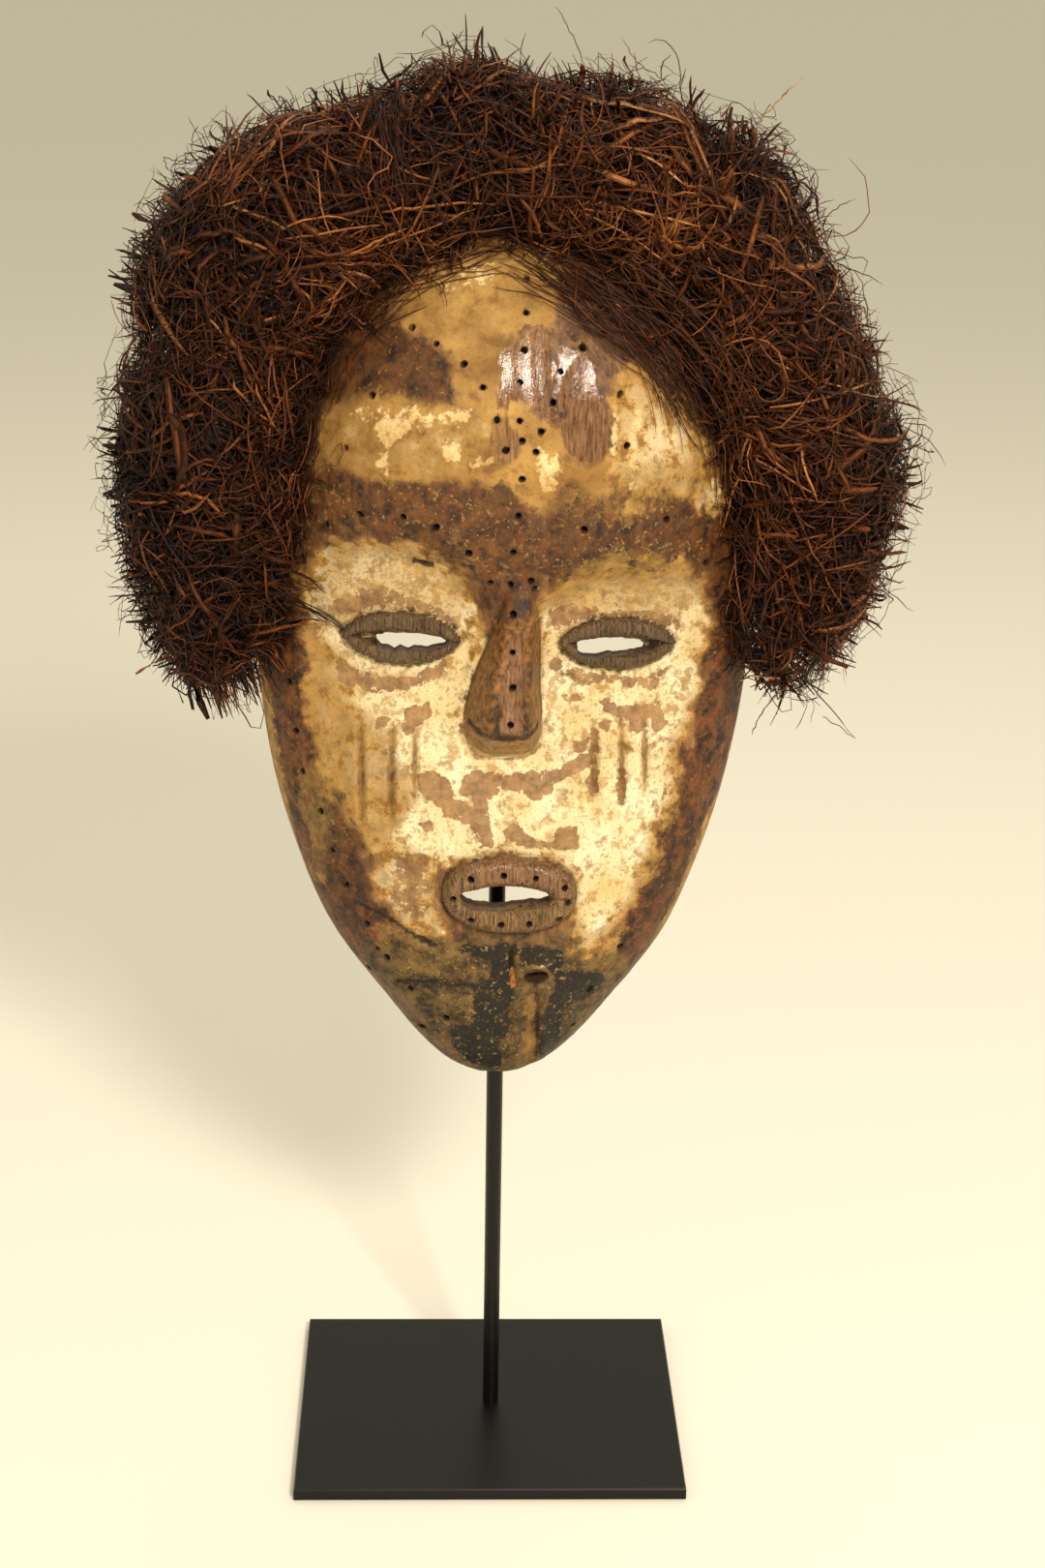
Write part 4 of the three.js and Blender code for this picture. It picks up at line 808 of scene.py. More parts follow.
# Each coat: attribute, noise that frays it and how much, where it starts and is full, how well it covers,
# its two colours and the noise between them, and its roughness
coats = [
    ("red", "patchy", 0.9, 0.15, 0.9, 0.93, "#180a03", "#74421b", "worn", 0.62),
    ("ochre", "patchy", 0.7, 0.1, 0.75, 0.92, "#8a5f2a", "#c59a50", "cloudy", 0.62),
    ("olive", "patchy", 0.9, 0.15, 0.8, 0.9, "#1d1407", "#70572b", "worn", 0.6),
    ("dark", "worn", 1.1, 0.1, 0.8, 0.95, "#190b04", "#6c4019", "patchy", 0.62),
    ("flecks", "dots", 1.2, 0.8, 1.08, 0.8, "#7a5828", "#b8934e", "ragged", 0.75),
    ("clay", "patchy", 0.5, 0.0, 0.45, 0.9, "#9c7033", "#cfa55a", "worn", 0.8),
    ("clay", "worn", 0.75, 0.26, 0.95, 0.97, "#dcbb7e", "#f8eecd", "cloudy", 0.88),
    ("gold", "worn", 0.8, 0.2, 1.05, 0.87, "#75501f", "#b38a48", "cloudy", 0.72),
    ("chips", "ragged", 0.9, 0.35, 0.75, 0.9, "#cda565", "#efd9a4", "cloudy", 0.82),
    # tan dirt, and painted shade in the eye sockets
    ("stainAndShade", "worn", 1.3, 0.25, 1.15, 0.85, "#775625", "#b48c4a", "patchy", 0.85),
    ("flake", "ragged", 1.0, 0.4, 0.52, 0.92, "#775334", "#a88154", "patchy", 0.75),
    ("black", "ragged", 1.1, 0.28, 0.75, 0.96, "#030202", "#1e150d", "patchy", 0.5),
    ("mould", "ragged", 1.3, 0.8, 1.08, 0.8, "#5e4b22", "#a99259", "speckle", 0.8),
    ("nose", "speckle", 0.2, 0.3, 0.7, 0.97, "#200f05", "#9a6630", "ragged", 0.42),
    ("rim", "speckle", 0.3, 0.35, 0.6, 0.95, "#2e1e10", "#a37d50", "grain", 0.4),
    ("lid", "speckle", 0.3, 0.35, 0.6, 0.95, "#211810", "#7f6444", "grain", 0.42),
    ("polish", "streaky", 0.7, 0.25, 0.7, 0.85, "#45281b", "#99704e", "grain", 0.2),
    # dirt and painted shade in the creases, recesses, openings, cracks and holes
    ("creaseDirtAndShade", "worn", 0.6, 0.2, 0.9, 0.92, "#100803", "#33200d", "patchy", 0.8),
    # the scars and chin groove: clay worn off in them, and painted shade
    ("furrowBareAndShade", "worn", 0.7, 0.1, 0.75, 0.85, "#64451f", "#9d7842", "patchy", 0.85),
    ("rust", "speckle", 0.3, 0.2, 0.7, 0.95, "#7a3f12", "#cf8a40", "patchy", 0.6),
    ("edgeWear", "ragged", 0.9, 0.3, 0.8, 0.8, "#8d6330", "#c9a35c", "patchy", 0.8),
    ("inside", "speckle", 0.2, 0.35, 0.6, 0.95, "#2f1c10", "#6e4b2a", "streaky", 0.8),
]
gloss = addNode(tree, "Value")
gloss.default_value = 0.55  # bare wood
masks = {}
for name, fray, howMuch, start, full, cover, deep, light, between, dull in coats:
    amount = addNode(tree, "Attribute", {"attribute_name": name}, outlet="Fac")
    frayed = addNode(tree, "Math", {"operation": "MULTIPLY_ADD", 1: howMuch, 2: -howMuch / 2}, {0: noises[fray]})
    present = addNode(tree, "MapRange", {1: 0.02, 2: 0.3}, {0: amount})
    total = addNode(tree, "Math", {"operation": "MULTIPLY_ADD"}, {0: frayed, 1: present, 2: amount})
    here = addNode(tree, "MapRange", {"interpolation_type": "SMOOTHSTEP", 1: start, 2: full, 4: cover}, {0: total})
    shades = {"data_type": "RGBA", 6: linear(deep), 7: linear(light)}
    coat = addNode(tree, "Mix", shades, {0: noises[between]}, outlet=2)
    colour = addNode(tree, "Mix", {"data_type": "RGBA"}, {0: here, 6: colour, 7: coat}, outlet=2)
    gloss = addNode(tree, "Mix", {"data_type": "FLOAT", 3: dull}, {0: here, 2: gloss})
    masks[name] = here
polished = addNode(tree, "MapRange", {1: 0.1, 2: 0.6}, {0: masks["polish"]})
gloss = addNode(tree, "Mix", {"data_type": "FLOAT", 3: 0.13}, {0: polished, 2: gloss})
# The rims of eyes and mouth are scored across, about 0.7 mm from line to line.
along = addNode(tree, "Attribute", {"attribute_name": "along"}, outlet="Fac")
wobble = addNode(tree, "Math", {"operation": "MULTIPLY_ADD", 1: 9.0}, {0: along, 2: addNode(
    tree, "Math", {"operation": "MULTIPLY", 1: 6.0}, {0: noises["patchy"]})})
scored = addNode(tree, "Math", {"operation": "SINE"}, {0: wobble})
unworn = addNode(tree, "Math", {"operation": "MULTIPLY_ADD", 1: -0.8, 2: 1.0}, {0: polished})
scoredHere = addNode(tree, "Math", {"operation": "MULTIPLY"}, {0: scored, 1: addNode(
    tree, "Math", {"operation": "MULTIPLY"}, {0: masks["rim"], 1: unworn})})
# The scores are painted dark and light by turns: painted shade in the cuts, painted highlight between them.
tint = addNode(tree, "MapRange", {1: -1.0, 2: 1.0, 3: 0.68, 4: 1.22}, {0: scoredHere})
specks = addNode(tree, "MapRange", {1: 0.0, 2: 0.3, 3: 0.7, 4: 1.0}, {0: noises["speckle"]})
grime = addNode(tree, "MapRange", {1: 0.0, 2: 0.45, 3: 0.72, 4: 1.0}, {0: noises["worn"]})
bare = addNode(tree, "Math", {"operation": "SUBTRACT", 0: 1.0}, {1: masks["clay"]})
grime = addNode(tree, "Mix", {"data_type": "FLOAT", 2: 1.0}, {0: bare, 3: grime})
for shade in (specks, grime):
    tint = addNode(tree, "Math", {"operation": "MULTIPLY"}, {0: tint, 1: shade})
colour = addNode(tree, "Mix", {"data_type": "RGBA", "blend_type": "MULTIPLY", 0: 1.0}, {6: colour, 7: tint}, outlet=2)
tree.links.new(colour, surface.inputs["Base Color"])
tree.links.new(gloss, surface.inputs["Roughness"])
# Heights in mm: the clay stands 0.2 over the wood, the scores and pores go in.
height = addNode(tree, "Math", {"operation": "MULTIPLY", 1: 0.08}, {0: noises["ragged"]})
for source, size in [(noises["grain"], 0.05), (noises["speckle"], 0.04)]:
    height = addNode(tree, "Math", {"operation": "MULTIPLY_ADD", 1: size}, {0: source, 2: height})
height = addNode(tree, "Mix", {"data_type": "FLOAT", 3: 0.0}, {0: addNode(
    tree, "Math", {"operation": "MULTIPLY", 1: 0.35}, {0: polished}), 2: height})
for source, size in [(masks["clay"], 0.22), (masks["flake"], -0.2), (masks["black"], 0.1), (scoredHere, 0.16)]:
    height = addNode(tree, "Math", {"operation": "MULTIPLY_ADD", 1: size}, {0: source, 2: height})
bump = addNode(tree, "Bump", {"Strength": 0.8, "Distance": mm}, {"Height": height})
tree.links.new(bump, surface.inputs["Normal"])

# Steel with a satin black stove paint: even, with a faint orange-peel skin.
blackSteel, tree, surface = newFinish("satin_black_painted_steel", {"IOR": 1.5, "Specular IOR Level": 0.3})
place = addNode(tree, "TexCoord", outlet="Object")
peel = addNode(tree, "TexNoise", {"Scale": 900, "Detail": 3}, {"Vector": place})  # 1 mm skin
smears = addNode(tree, "TexNoise", {"Scale": 25, "Detail": 5, "Roughness": 0.6}, {"Vector": place})  # 40 mm wipe marks
tone = addNode(tree, "Mix", {"data_type": "RGBA", 6: linear("#050404"), 7: linear("#0a0808")}, {0: smears}, outlet=2)
dull = addNode(tree, "MapRange", {1: 0.3, 2: 0.7, 3: 0.3, 4: 0.42}, {0: smears})
bump = addNode(tree, "Bump", {"Strength": 0.12, "Distance": 0.2 * mm}, {"Height": peel})
tree.links.new(tone, surface.inputs["Base Color"])
tree.links.new(dull, surface.inputs["Roughness"])
tree.links.new(bump, surface.inputs["Normal"])

# Palm fibre, dyed red-brown and dried: each strand has its own tone and a soft shine along it.
dyedFibre, tree, surface = newFinish("dyed_palm_fibre", {"IOR": 1.5, "Specular IOR Level": 0.2, "Roughness": 0.45})
place = addNode(tree, "TexCoord", outlet="Object")
ownTone = addNode(tree, "Attribute", {"attribute_name": "tone"}, outlet="Fac")
blotch = addNode(tree, "TexNoise", {"Scale": 350, "Detail": 3}, {"Vector": place})  # 3 mm changes along a strand
toned = addNode(tree, "Math", {"operation": "MULTIPLY_ADD", 1: 0.35, 2: -0.175}, {0: blotch})
toned = addNode(tree, "Math", {"operation": "ADD"}, {0: toned, 1: ownTone})
tone = addNode(tree, "ValToRGB", None, {0: toned})
ramp = tone.node.color_ramp
stops = [(0.0, "#120805"), (0.25, "#2c140a"), (0.45, "#4f2810"), (0.65, "#78431f"), (0.85, "#a06536"), (1.0, "#c49864")]
while len(ramp.elements) < len(stops):
    ramp.elements.new(0.5)
for element, (at, hexColour) in zip(ramp.elements, stops):
    element.position, element.color = at, linear(hexColour)
tree.links.new(tone, surface.inputs["Base Color"])
bump = addNode(tree, "Bump", {"Strength": 0.3, "Distance": 0.3 * mm}, {"Height": blotch})
tree.links.new(bump, surface.inputs["Normal"])

finishPiece(mask, "mask_carved", paintedWood, smoothDegrees=50)
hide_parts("mask")

# The stand
stand = {"radius": 3.175, "x": 1, "plateTop": 5, "straightTo": 160, "bendRadius": 14, "saddleRadius": 2.4,
         "saddleHalf": 24, "saddleHeight": 268, "pinRadius": 2, "pinHeight": 16, "touch": 1.1}


def behindFace(x, height, clear):  # a point in mm that stands clear of the hollow behind the face
    at = np.array([x], float), np.array([height], float)
    hollow = faceDepth(*at, -maskForm["wall"]) + wallThinning(*at)
    return toWorld([x, clear - float(hollow[0]), height]) / mm


def barAlong(name, points, radius, sides):  # a round bar drawn along points in mm
    bpy.ops.curve.primitive_nurbs_path_add(location=(0, 0, 0))
    bar = bpy.context.object
    bar.name = name
    line = bar.data
    line.splines.clear()
    spline = line.splines.new("POLY")
    spline.points.add(len(points) - 1)
    for point, at in zip(spline.points, points):
        point.co = (*(np.array(at) * mm), 1)
    line.dimensions = "3D"
    line.bevel_depth = radius * mm
    line.bevel_resolution = sides // 4 - 2
    line.use_fill_caps = True
    pickOnly(bar)
    bpy.ops.object.convert(target="MESH")
    return bpy.context.object


saddle = [behindFace(x, stand["saddleHeight"], stand["saddleRadius"] + stand["touch"])
          for x in np.linspace(-stand["saddleHalf"], stand["saddleHalf"], 25)]
_, armY, armZ = saddle[len(saddle) // 2]
rodX, bend = stand["x"], stand["bendRadius"]
upright = [(rodX, 0, stand["plateTop"]), (rodX, 0, stand["straightTo"])]
upright += [(rodX, -bend * (1 - math.cos(a)), armZ - bend * (1 - math.sin(a))) for a in np.linspace(0, np.pi / 2, 13)]
upright += [(rodX, armY + 0.5, armZ)]
_, pinY, pinZ = behindFace(0, stand["pinHeight"], stand["touch"])
rod = joinAll([barAlong("upright", upright, stand["radius"], sides=32),
               barAlong("saddle", saddle, stand["saddleRadius"], sides=20),
               barAlong("pin", [(rodX, 0, pinZ), (rodX, pinY, pinZ)], stand["pinRadius"], sides=16)])
finishPiece(rod, "stand_rod_smooth", blackSteel)
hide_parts("stand_rod")
plate = bpy.data.objects["base_plate"]
for slot in plate.material_slots:
    slot.material = blackSteel
print("stand: rod bent and plate painted")

# The wig, in mm in the mask's frame, by the angle from straight up and the turn round the roll
wig = {
    "centreZ": 210, "depthCentre": -17, "halfDepth": 39, "start": -118, "end": 118.5, "cap": 12, "coreBelow": 10,
    "outer": [
        (-118, 119), (-113, 128.5), (-106, 132.5), (-98, 133.5), (-90, 138), (-84, 141), (-73, 145),
        (-60, 153), (-52, 163), (-45, 171.5), (-38, 171.5), (-30, 169.5), (-20, 165), (-10, 169.5), (-4, 170),
        (2, 160.5), (10, 165.5), (18, 163.5), (24, 161.5), (30, 167.5), (36, 160), (45, 150.5), (55, 148.5),
        (62, 144.5), (70, 143), (80, 143.5), (86, 134.5), (93, 134), (100, 130.5), (107, 126.5), (113, 123),
        (118.5, 113)],
    "inner": [
        (-118, 100), (-113, 92.5), (-108, 85.5), (-101, 79), (-94, 74.5), (-84, 72.5), (-75, 72.5),
        (-65, 75.5), (-55, 81.5), (-40, 92), (-24, 97.5), (-7, 102.5), (6, 102.5), (15, 94), (26, 87),
        (40, 82), (60, 79.5), (78, 78), (98, 78.5), (108, 83), (114, 91), (118.5, 98)],
    "clumps": 900, "batches": 4,
    "fibres": {"count": 3480, "steps": 8, "stepLength": 4.8, "wander": 13, "deepest": -9, "highest": 0},
    "ribbons": {"count": 1900, "steps": 9, "stepLength": 5, "wander": 9, "deepest": -2.5, "highest": 0.8},
    "loose": {"count": 900, "steps": 9, "stepLength": 4, "wander": 24, "deepest": 0, "highest": 9, "clumped": 0.2},
    "stubs": 1500, "stubTufts": 55, "stubReach": 12.5,
    "perDegree": 2.2, "perTurn": 35,  # mm along the roll for a degree, and round it for a radian
}
wigOuter, wigInner = smoothThrough(wig["outer"]), smoothThrough(wig["inner"])


def lumpsOnRoll(degrees, turn, size, seed):
    return unevenness(degrees * wig["perDegree"], turn * wig["perTurn"], size, size, seed)


def tuftHeight(degrees, turn):  # how far the tufts rise over the even roll
    narrowing = turn * wig["perTurn"] * np.cos(turn / 2)  # so that the two sides meet behind
    broad = unevenness(degrees * wig["perDegree"], narrowing, 19, 19, 85)
    lumps = 3.4 * broad + 1.8 * lumpsOnRoll(degrees, turn, 8, 86)
    waves = (0.5 * np.sin(0.31 * degrees + 1.9 * np.sin(2 * turn)) + 0.3 * np.sin(0.53 * degrees + 3 * turn + 1)
             + 0.2 * np.sin(0.17 * degrees - 5 * turn))
    return lumps * np.cos(turn / 2) + 3 * waves


def rollSize(degrees):  # how full the roll is near its ends, its middle radius and half its width
    fromEnd = np.clip(np.minimum(degrees - wig["start"], wig["end"] - degrees) / wig["cap"], 0, 1)
    outer, inner = wigOuter(degrees), wigInner(degrees)
    return np.maximum(np.sqrt(1 - (1 - fromEnd) ** 2), 0.05), (outer + inner) / 2, (outer - inner) / 2


def rollPoint(degrees, turn, lift):  # a point on the roll of fibre, or lifted off it
    size, centre, half = rollSize(degrees)
    lump = tuftHeight(degrees, turn)
    radius = centre + ((half + lump) * size + lift) * np.cos(turn)
    y = wig["depthCentre"] + ((wig["halfDepth"] + lump) * size + lift) * np.sin(turn)
    angle = np.radians(degrees)
    return np.stack([radius * np.sin(angle), y, wig["centreZ"] + radius * np.cos(angle)], axis=-1)


def unit(vectors):
    return vectors / (np.linalg.norm(vectors, axis=-1, keepdims=True) + 1e-9)


def liftOf(local):  # how far a point lies outside the roll, and the way out of it
    dx, dz = local[..., 0], local[..., 2] - wig["centreZ"]
    degrees = np.degrees(np.arctan2(dx, dz))
    held = np.clip(degrees, wig["start"] + 4, wig["end"] - 4)
    radius = np.hypot(dx, dz)
    size, centre, half = rollSize(held)
    a, b = radius - centre, local[..., 1] - wig["depthCentre"]
    turn = np.arctan2(b / wig["halfDepth"], a / half)
    lump = tuftHeight(held, turn)
    reachA, reachB = (half + lump) * size, (wig["halfDepth"] + lump) * size
    share = np.sqrt((a / reachA) ** 2 + (b / reachB) ** 2) + 1e-9
    length = np.hypot(a, b)
    across = unit(np.stack([a / reachA**2, b / reachB**2], axis=-1))
    angle = np.radians(held)
    away = np.stack([across[..., 0] * np.sin(angle), across[..., 1], across[..., 0] * np.cos(angle)], axis=-1)
    past = np.abs(degrees - held) * np.pi / 180 * radius
    endward = np.sign(degrees - held)[..., None] * np.stack([np.cos(angle), 0 * angle, -np.sin(angle)], axis=-1)
    atEnd = np.clip(past / 5, 0, 1)[..., None]
    return length * (1 - 1 / share) + past, unit(away * (1 - atEnd) + endward * atEnd)


bpy.ops.mesh.primitive_grid_add(x_subdivisions=110, y_subdivisions=28, size=2)
core = bpy.context.object
flatGrid = readPoints(core)
degrees = wig["start"] + 3 + (flatGrid[:, 0] + 1) / 2 * (wig["end"] - wig["start"] - 6)
turn = flatGrid[:, 1] * np.pi
along, around = degrees * wig["perDegree"], turn * 40
lumps = 2.5 * unevenness(along, around, 9, 9, 61) + 1.5 * unevenness(along, around, 4, 4, 62)
seamless = smoothStep(np.pi - np.abs(turn), 0, 0.4)
thinner = 7 * smoothStep(degrees, 92, 112)  # the right end is worn thin
writePoints(core, toWorld(rollPoint(degrees, turn, -wig["coreBelow"] - thinner + lumps * seamless)))
bpy.ops.object.mode_set(mode="EDIT")
bpy.ops.mesh.select_all(action="SELECT")
bpy.ops.mesh.remove_doubles(threshold=1e-5)
pickBorder()
bpy.ops.mesh.fill()
leaveEdit()
cutWith(core, shellPiece("seat", 50, 70, lambda x, z: faceDepth(x, z, 1), grow=1, back=0.3))
cutWith(core, shellPiece("way_in", 40, 60, lambda x, z: faceDepth(x, z, -4.5), grow=-4.5, back=80))
# the core takes the darkest tone: painted shade in the depth of the fibre
storeValues(core, "tone", np.full(len(core.data.vertices), 0.08))
finishPiece(core, "wig_core", dyedFibre, smoothDegrees=80)
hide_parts("fibre_wig")
print("wig: core rolled,", len(core.data.polygons), "faces")


def strandMesh(name, paths, wide, thin, tones):
    # Tubes of three sides, so that thousands stay light: paths is strands x points x 3, in mm in the mask's frame.
    sides = 3
    count, steps, _ = paths.shape
    ahead = unit(np.gradient(paths, axis=1))
    side = unit(np.cross(ahead, liftOf(paths)[1]))
    up = np.cross(side, ahead)
    taper = np.interp(np.linspace(0, 1, steps), [0, 0.12, 0.85, 1], [0.5, 1, 0.85, 0.25])
    rings = []
    for k in range(sides):
        turn = 2 * np.pi * k / sides + np.pi / 6
        rings.append(paths + (side * (wide[:, None] * math.cos(turn) * taper)[..., None]
                              + up * (thin[:, None] * math.sin(turn) * taper)[..., None]))
    places = toWorld(np.stack(rings, axis=2).reshape(-1, 3))
    first = (np.arange(count)[:, None] * steps + np.arange(steps - 1)) * sides
    quads = []
    for k in range(sides):
        after = (k + 1) % sides
        quads.append(np.stack([first + k, first + after, first + sides + after, first + sides + k], axis=-1))
    quads = np.concatenate([quad.reshape(-1, 4) for quad in quads])
    starts = np.arange(count) * steps * sides
    ends = starts + (steps - 1) * sides
    caps = np.concatenate([np.stack([starts + 2, starts + 1, starts], axis=-1),
                           np.stack([ends, ends + 1, ends + 2], axis=-1)])
    mesh = bpy.data.meshes.new(name)
    piece = bpy.data.objects.new(name, mesh)
    bpy.context.collection.objects.link(piece)
    mesh.vertices.add(len(places))
    mesh.loops.add(quads.size + caps.size)
    mesh.polygons.add(len(quads) + len(caps))
    mesh.vertices.foreach_set("co", places.astype(np.float32).ravel())
    mesh.loops.foreach_set("vertex_index", np.concatenate([quads.ravel(), caps.ravel()]).astype(np.int32))
    mesh.polygons.foreach_set("loop_start", np.concatenate(
        [np.arange(len(quads)) * 4, quads.size + np.arange(len(caps)) * 3]).astype(np.int32))
    mesh.update(calc_edges=True)
    storeValues(piece, "tone", np.repeat(tones, steps * sides))
    finishPiece(piece, name, dyedFibre, smoothDegrees=180)


def growStrands(rng, count, steps, stepLength, wander, deepest, highest, clumped=0.8):
    # Each strand starts on the roll and wanders, held between two heights over it and kept off the wood.
    # Most belong to a clump that shares a heading, a curl, a tone and a height, as raffia tied in bundles does.
    grown = int(count * 1.7)  # more than are wanted, since some are dropped below
    picked = rng.integers(0, len(clumps["degrees"]), grown)
    inClump = rng.random(grown) < clumped
    degrees = np.where(inClump, clumps["degrees"][picked] + rng.normal(0, 1.8, grown),
                       rng.uniform(wig["start"] + 4, wig["end"] - 4, grown))
    turn = np.where(inClump, clumps["turn"][picked] + rng.normal(0, 0.12, grown), rng.uniform(-np.pi, np.pi, grown))
    highest = highest + np.where(inClump, clumps["lift"][picked], -1)
    lift = deepest + (highest - deepest) * rng.uniform(0, 1, grown)
    at = rollPoint(np.clip(degrees, wig["start"], wig["end"]), turn, lift)
    _, away = liftOf(at)
    own = unit(rng.normal(size=(grown, 3)))
    heading = np.where(inClump[:, None], clumps["heading"][picked] + 0.4 * own, own)
    heading = unit(heading - away * (heading * away).sum(axis=1, keepdims=True) * 0.9)
    at = at - heading * (stepLength * steps / 2)
    path = [at]
    length = stepLength * rng.uniform(0.45, 1.35, grown)
    bend = unit(np.where(inClump[:, None], clumps["bend"][picked], 0) + 0.8 * unit(rng.normal(size=(grown, 3))))
    curl = wander * rng.uniform(0.3, 1.9, grown) * (1 + 0.7 * smoothStep(-degrees, 20, 60))
    for _ in range(steps - 1):
        lift, away = liftOf(at)
        kink = np.where(rng.random(grown) < 0.1, 4.0, 1.0)
        turned = np.cross(heading, bend) + 0.4 * kink[:, None] * rng.normal(size=(grown, 3))
        heading = heading + np.radians(curl)[:, None] * turned
        # turned back where the next step would leave the roll or sink too deep
        soon = lift + (heading * away).sum(axis=1) * length
        off = np.clip((soon - highest) / length, 0, 1.2) - np.clip((deepest - soon) / length, 0, 0.6)
        heading = unit(heading - away * off[:, None])
        at = at + heading * length[:, None]
        path.append(at)
    path = np.stack(path, axis=1)
    px, pz = path[..., 0], path[..., 2]
    outside = faceDepth(px, pz, 1.0)
    onWood = (outside > 0) & (path[..., 1] > -outside) & (path[..., 1] < 0)
    astray = rng.random(grown) < 0.12  # a few may lie on the wood
    path[..., 1] = np.where(onWood, -outside - rng.uniform(0, 3, grown)[:, None], path[..., 1])
    inner = faceDepth(px, pz, -3.5)
    inHollow = ((inner > 0) & (path[..., 1] > -inner)).any(axis=1)
    thinned = rng.random(grown) < 0.75 * smoothStep(degrees, 90, 116)  # the right end is worn thin
    kept = ~inHollow & ~thinned & ((onWood.mean(axis=1) < 0.3) | astray)
    # the hair is darker low down on both sides, most on the left; deeper in the mass it is darker as painted shade
    middle = path[:, steps // 2]
    lift, _ = liftOf(middle)
    tones = (0.365 + 0.044 * np.clip(lift, -9, 3) + 0.0004 * middle[:, 0] - 0.06 * smoothStep(np.abs(degrees), 35, 80)
             + 0.07 * lumpsOnRoll(degrees, turn, 24, 88) + np.where(inClump, clumps["tone"][picked], 0)
             + rng.normal(0, 0.08, grown))
    tones = tones + 0.25 * (rng.random(grown) < 0.06)  # and a few are bleached
    return path[kept][:count], np.clip(tones, 0.02, 0.9)[kept][:count]


rng = np.random.default_rng(23)
count = wig["clumps"]
clumps = {"degrees": rng.uniform(wig["start"] + 5, wig["end"] - 5, count), "turn": rng.uniform(-np.pi, np.pi, count),
          "lift": np.clip(rng.normal(-1, 2.4, count), -5, 3), "tone": rng.normal(0, 0.12, count),
          "bend": unit(rng.normal(size=(count, 3)))}
clumps["turn"] = np.where(rng.random(count) < 0.25, -np.abs(clumps["turn"]), clumps["turn"])  # more lie in front
# the bundles lie across the roll or along it by turns, in patches some 45 mm wide
patch = np.pi * lumpsOnRoll(clumps["degrees"], clumps["turn"], 45, 81)
patch = patch * (1 - 0.7 * smoothStep(np.abs(clumps["turn"]), 1.7, 2.3))  # along the hairline they are combed
alongRoll = np.radians(clumps["degrees"])
headings = np.stack([np.cos(alongRoll) * np.cos(patch), np.sin(patch), -np.sin(alongRoll) * np.cos(patch)], axis=-1)
clumps["heading"] = unit(headings + 0.45 * rng.normal(size=(count, 3)))
for batch in range(wig["batches"]):
    fine, tones = growStrands(rng, **wig["fibres"])
    wide = 0.16 + 0.5 * rng.random(len(fine)) ** 2.5
    strandMesh(f"wig_fibres_{batch + 1}", fine, wide, wide * rng.uniform(0.5, 1, len(fine)), tones)
    print("wig: batch", batch + 1, "of fibres,", len(fine))
ribbons, tones = growStrands(rng, **wig["ribbons"])
wide = 0.4 + 1.3 * rng.random(len(ribbons)) ** 3
strandMesh("wig_ribbons", ribbons, wide, rng.uniform(0.08, 0.14, len(ribbons)), np.clip(tones + 0.13, 0, 0.9))
print("wig: ribbons,", len(ribbons))

loose, tones = growStrands(rng, **wig["loose"])
wide = 0.15 + 0.5 * rng.random(len(loose)) ** 3
strandMesh("wig_loose_strands", loose, wide, rng.uniform(0.1, 0.16, len(loose)), np.clip(tones - 0.16, 0.05, 0.9))
print("wig: loose strands,", len(loose))

# broken ends that stand out of the mass, stiff and kinked, two in three of them in tufts
count, tuftCount = wig["stubs"], wig["stubTufts"]
tufts = rng.integers(0, tuftCount, count)
inTuft = rng.random(count) < 0.65
degrees = np.where(inTuft, rng.uniform(wig["start"] + 8, wig["end"] - 10, tuftCount)[tufts] + rng.normal(0, 1.8, count),
                   rng.uniform(wig["start"] + 6, wig["end"] - 8, count))
turn = np.where(inTuft, rng.normal(0, 0.9, tuftCount)[tufts] + rng.normal(0, 0.15, count),
                rng.uniform(-np.pi, np.pi, count))
at = rollPoint(degrees, turn, np.full(count, -3.0))
outward = liftOf(at)[1] * rng.uniform(0.35, 1, count)[:, None]
heading = unit(outward + 0.75 * unit(rng.normal(size=(count, 3))))
length = rng.uniform(1.6, 4.8, count)[:, None]
path = [at]
for _ in range(5):
    kink = np.where(rng.random(count) < 0.25, 0.8, 0.12)[:, None]
    heading = unit(heading + kink * rng.normal(size=(count, 3)))
    at = at + heading * length
    path.append(at)
path = np.stack(path, axis=1)
px, pz = path[..., 0], path[..., 2]
clear = ((faceDepth(px, pz, 2.0) <= 0) | (path[..., 1] < -faceDepth(px, pz, 3.0))).all(axis=1)
clear &= (liftOf(path)[0] < wig["stubReach"]).all(axis=1)
stubs = path[clear]
wide = 0.22 + 0.75 * rng.random(len(stubs)) ** 2.2
thin = rng.uniform(0.1, 0.2, len(stubs))
tones = rng.normal(0.36, 0.12, len(stubs)) + 0.0006 * stubs[:, 0, 0]  # a little lighter on the right
strandMesh("wig_broken_ends", stubs, wide, thin, np.clip(tones, 0.08, 0.8))
print("wig: broken ends,", len(stubs))

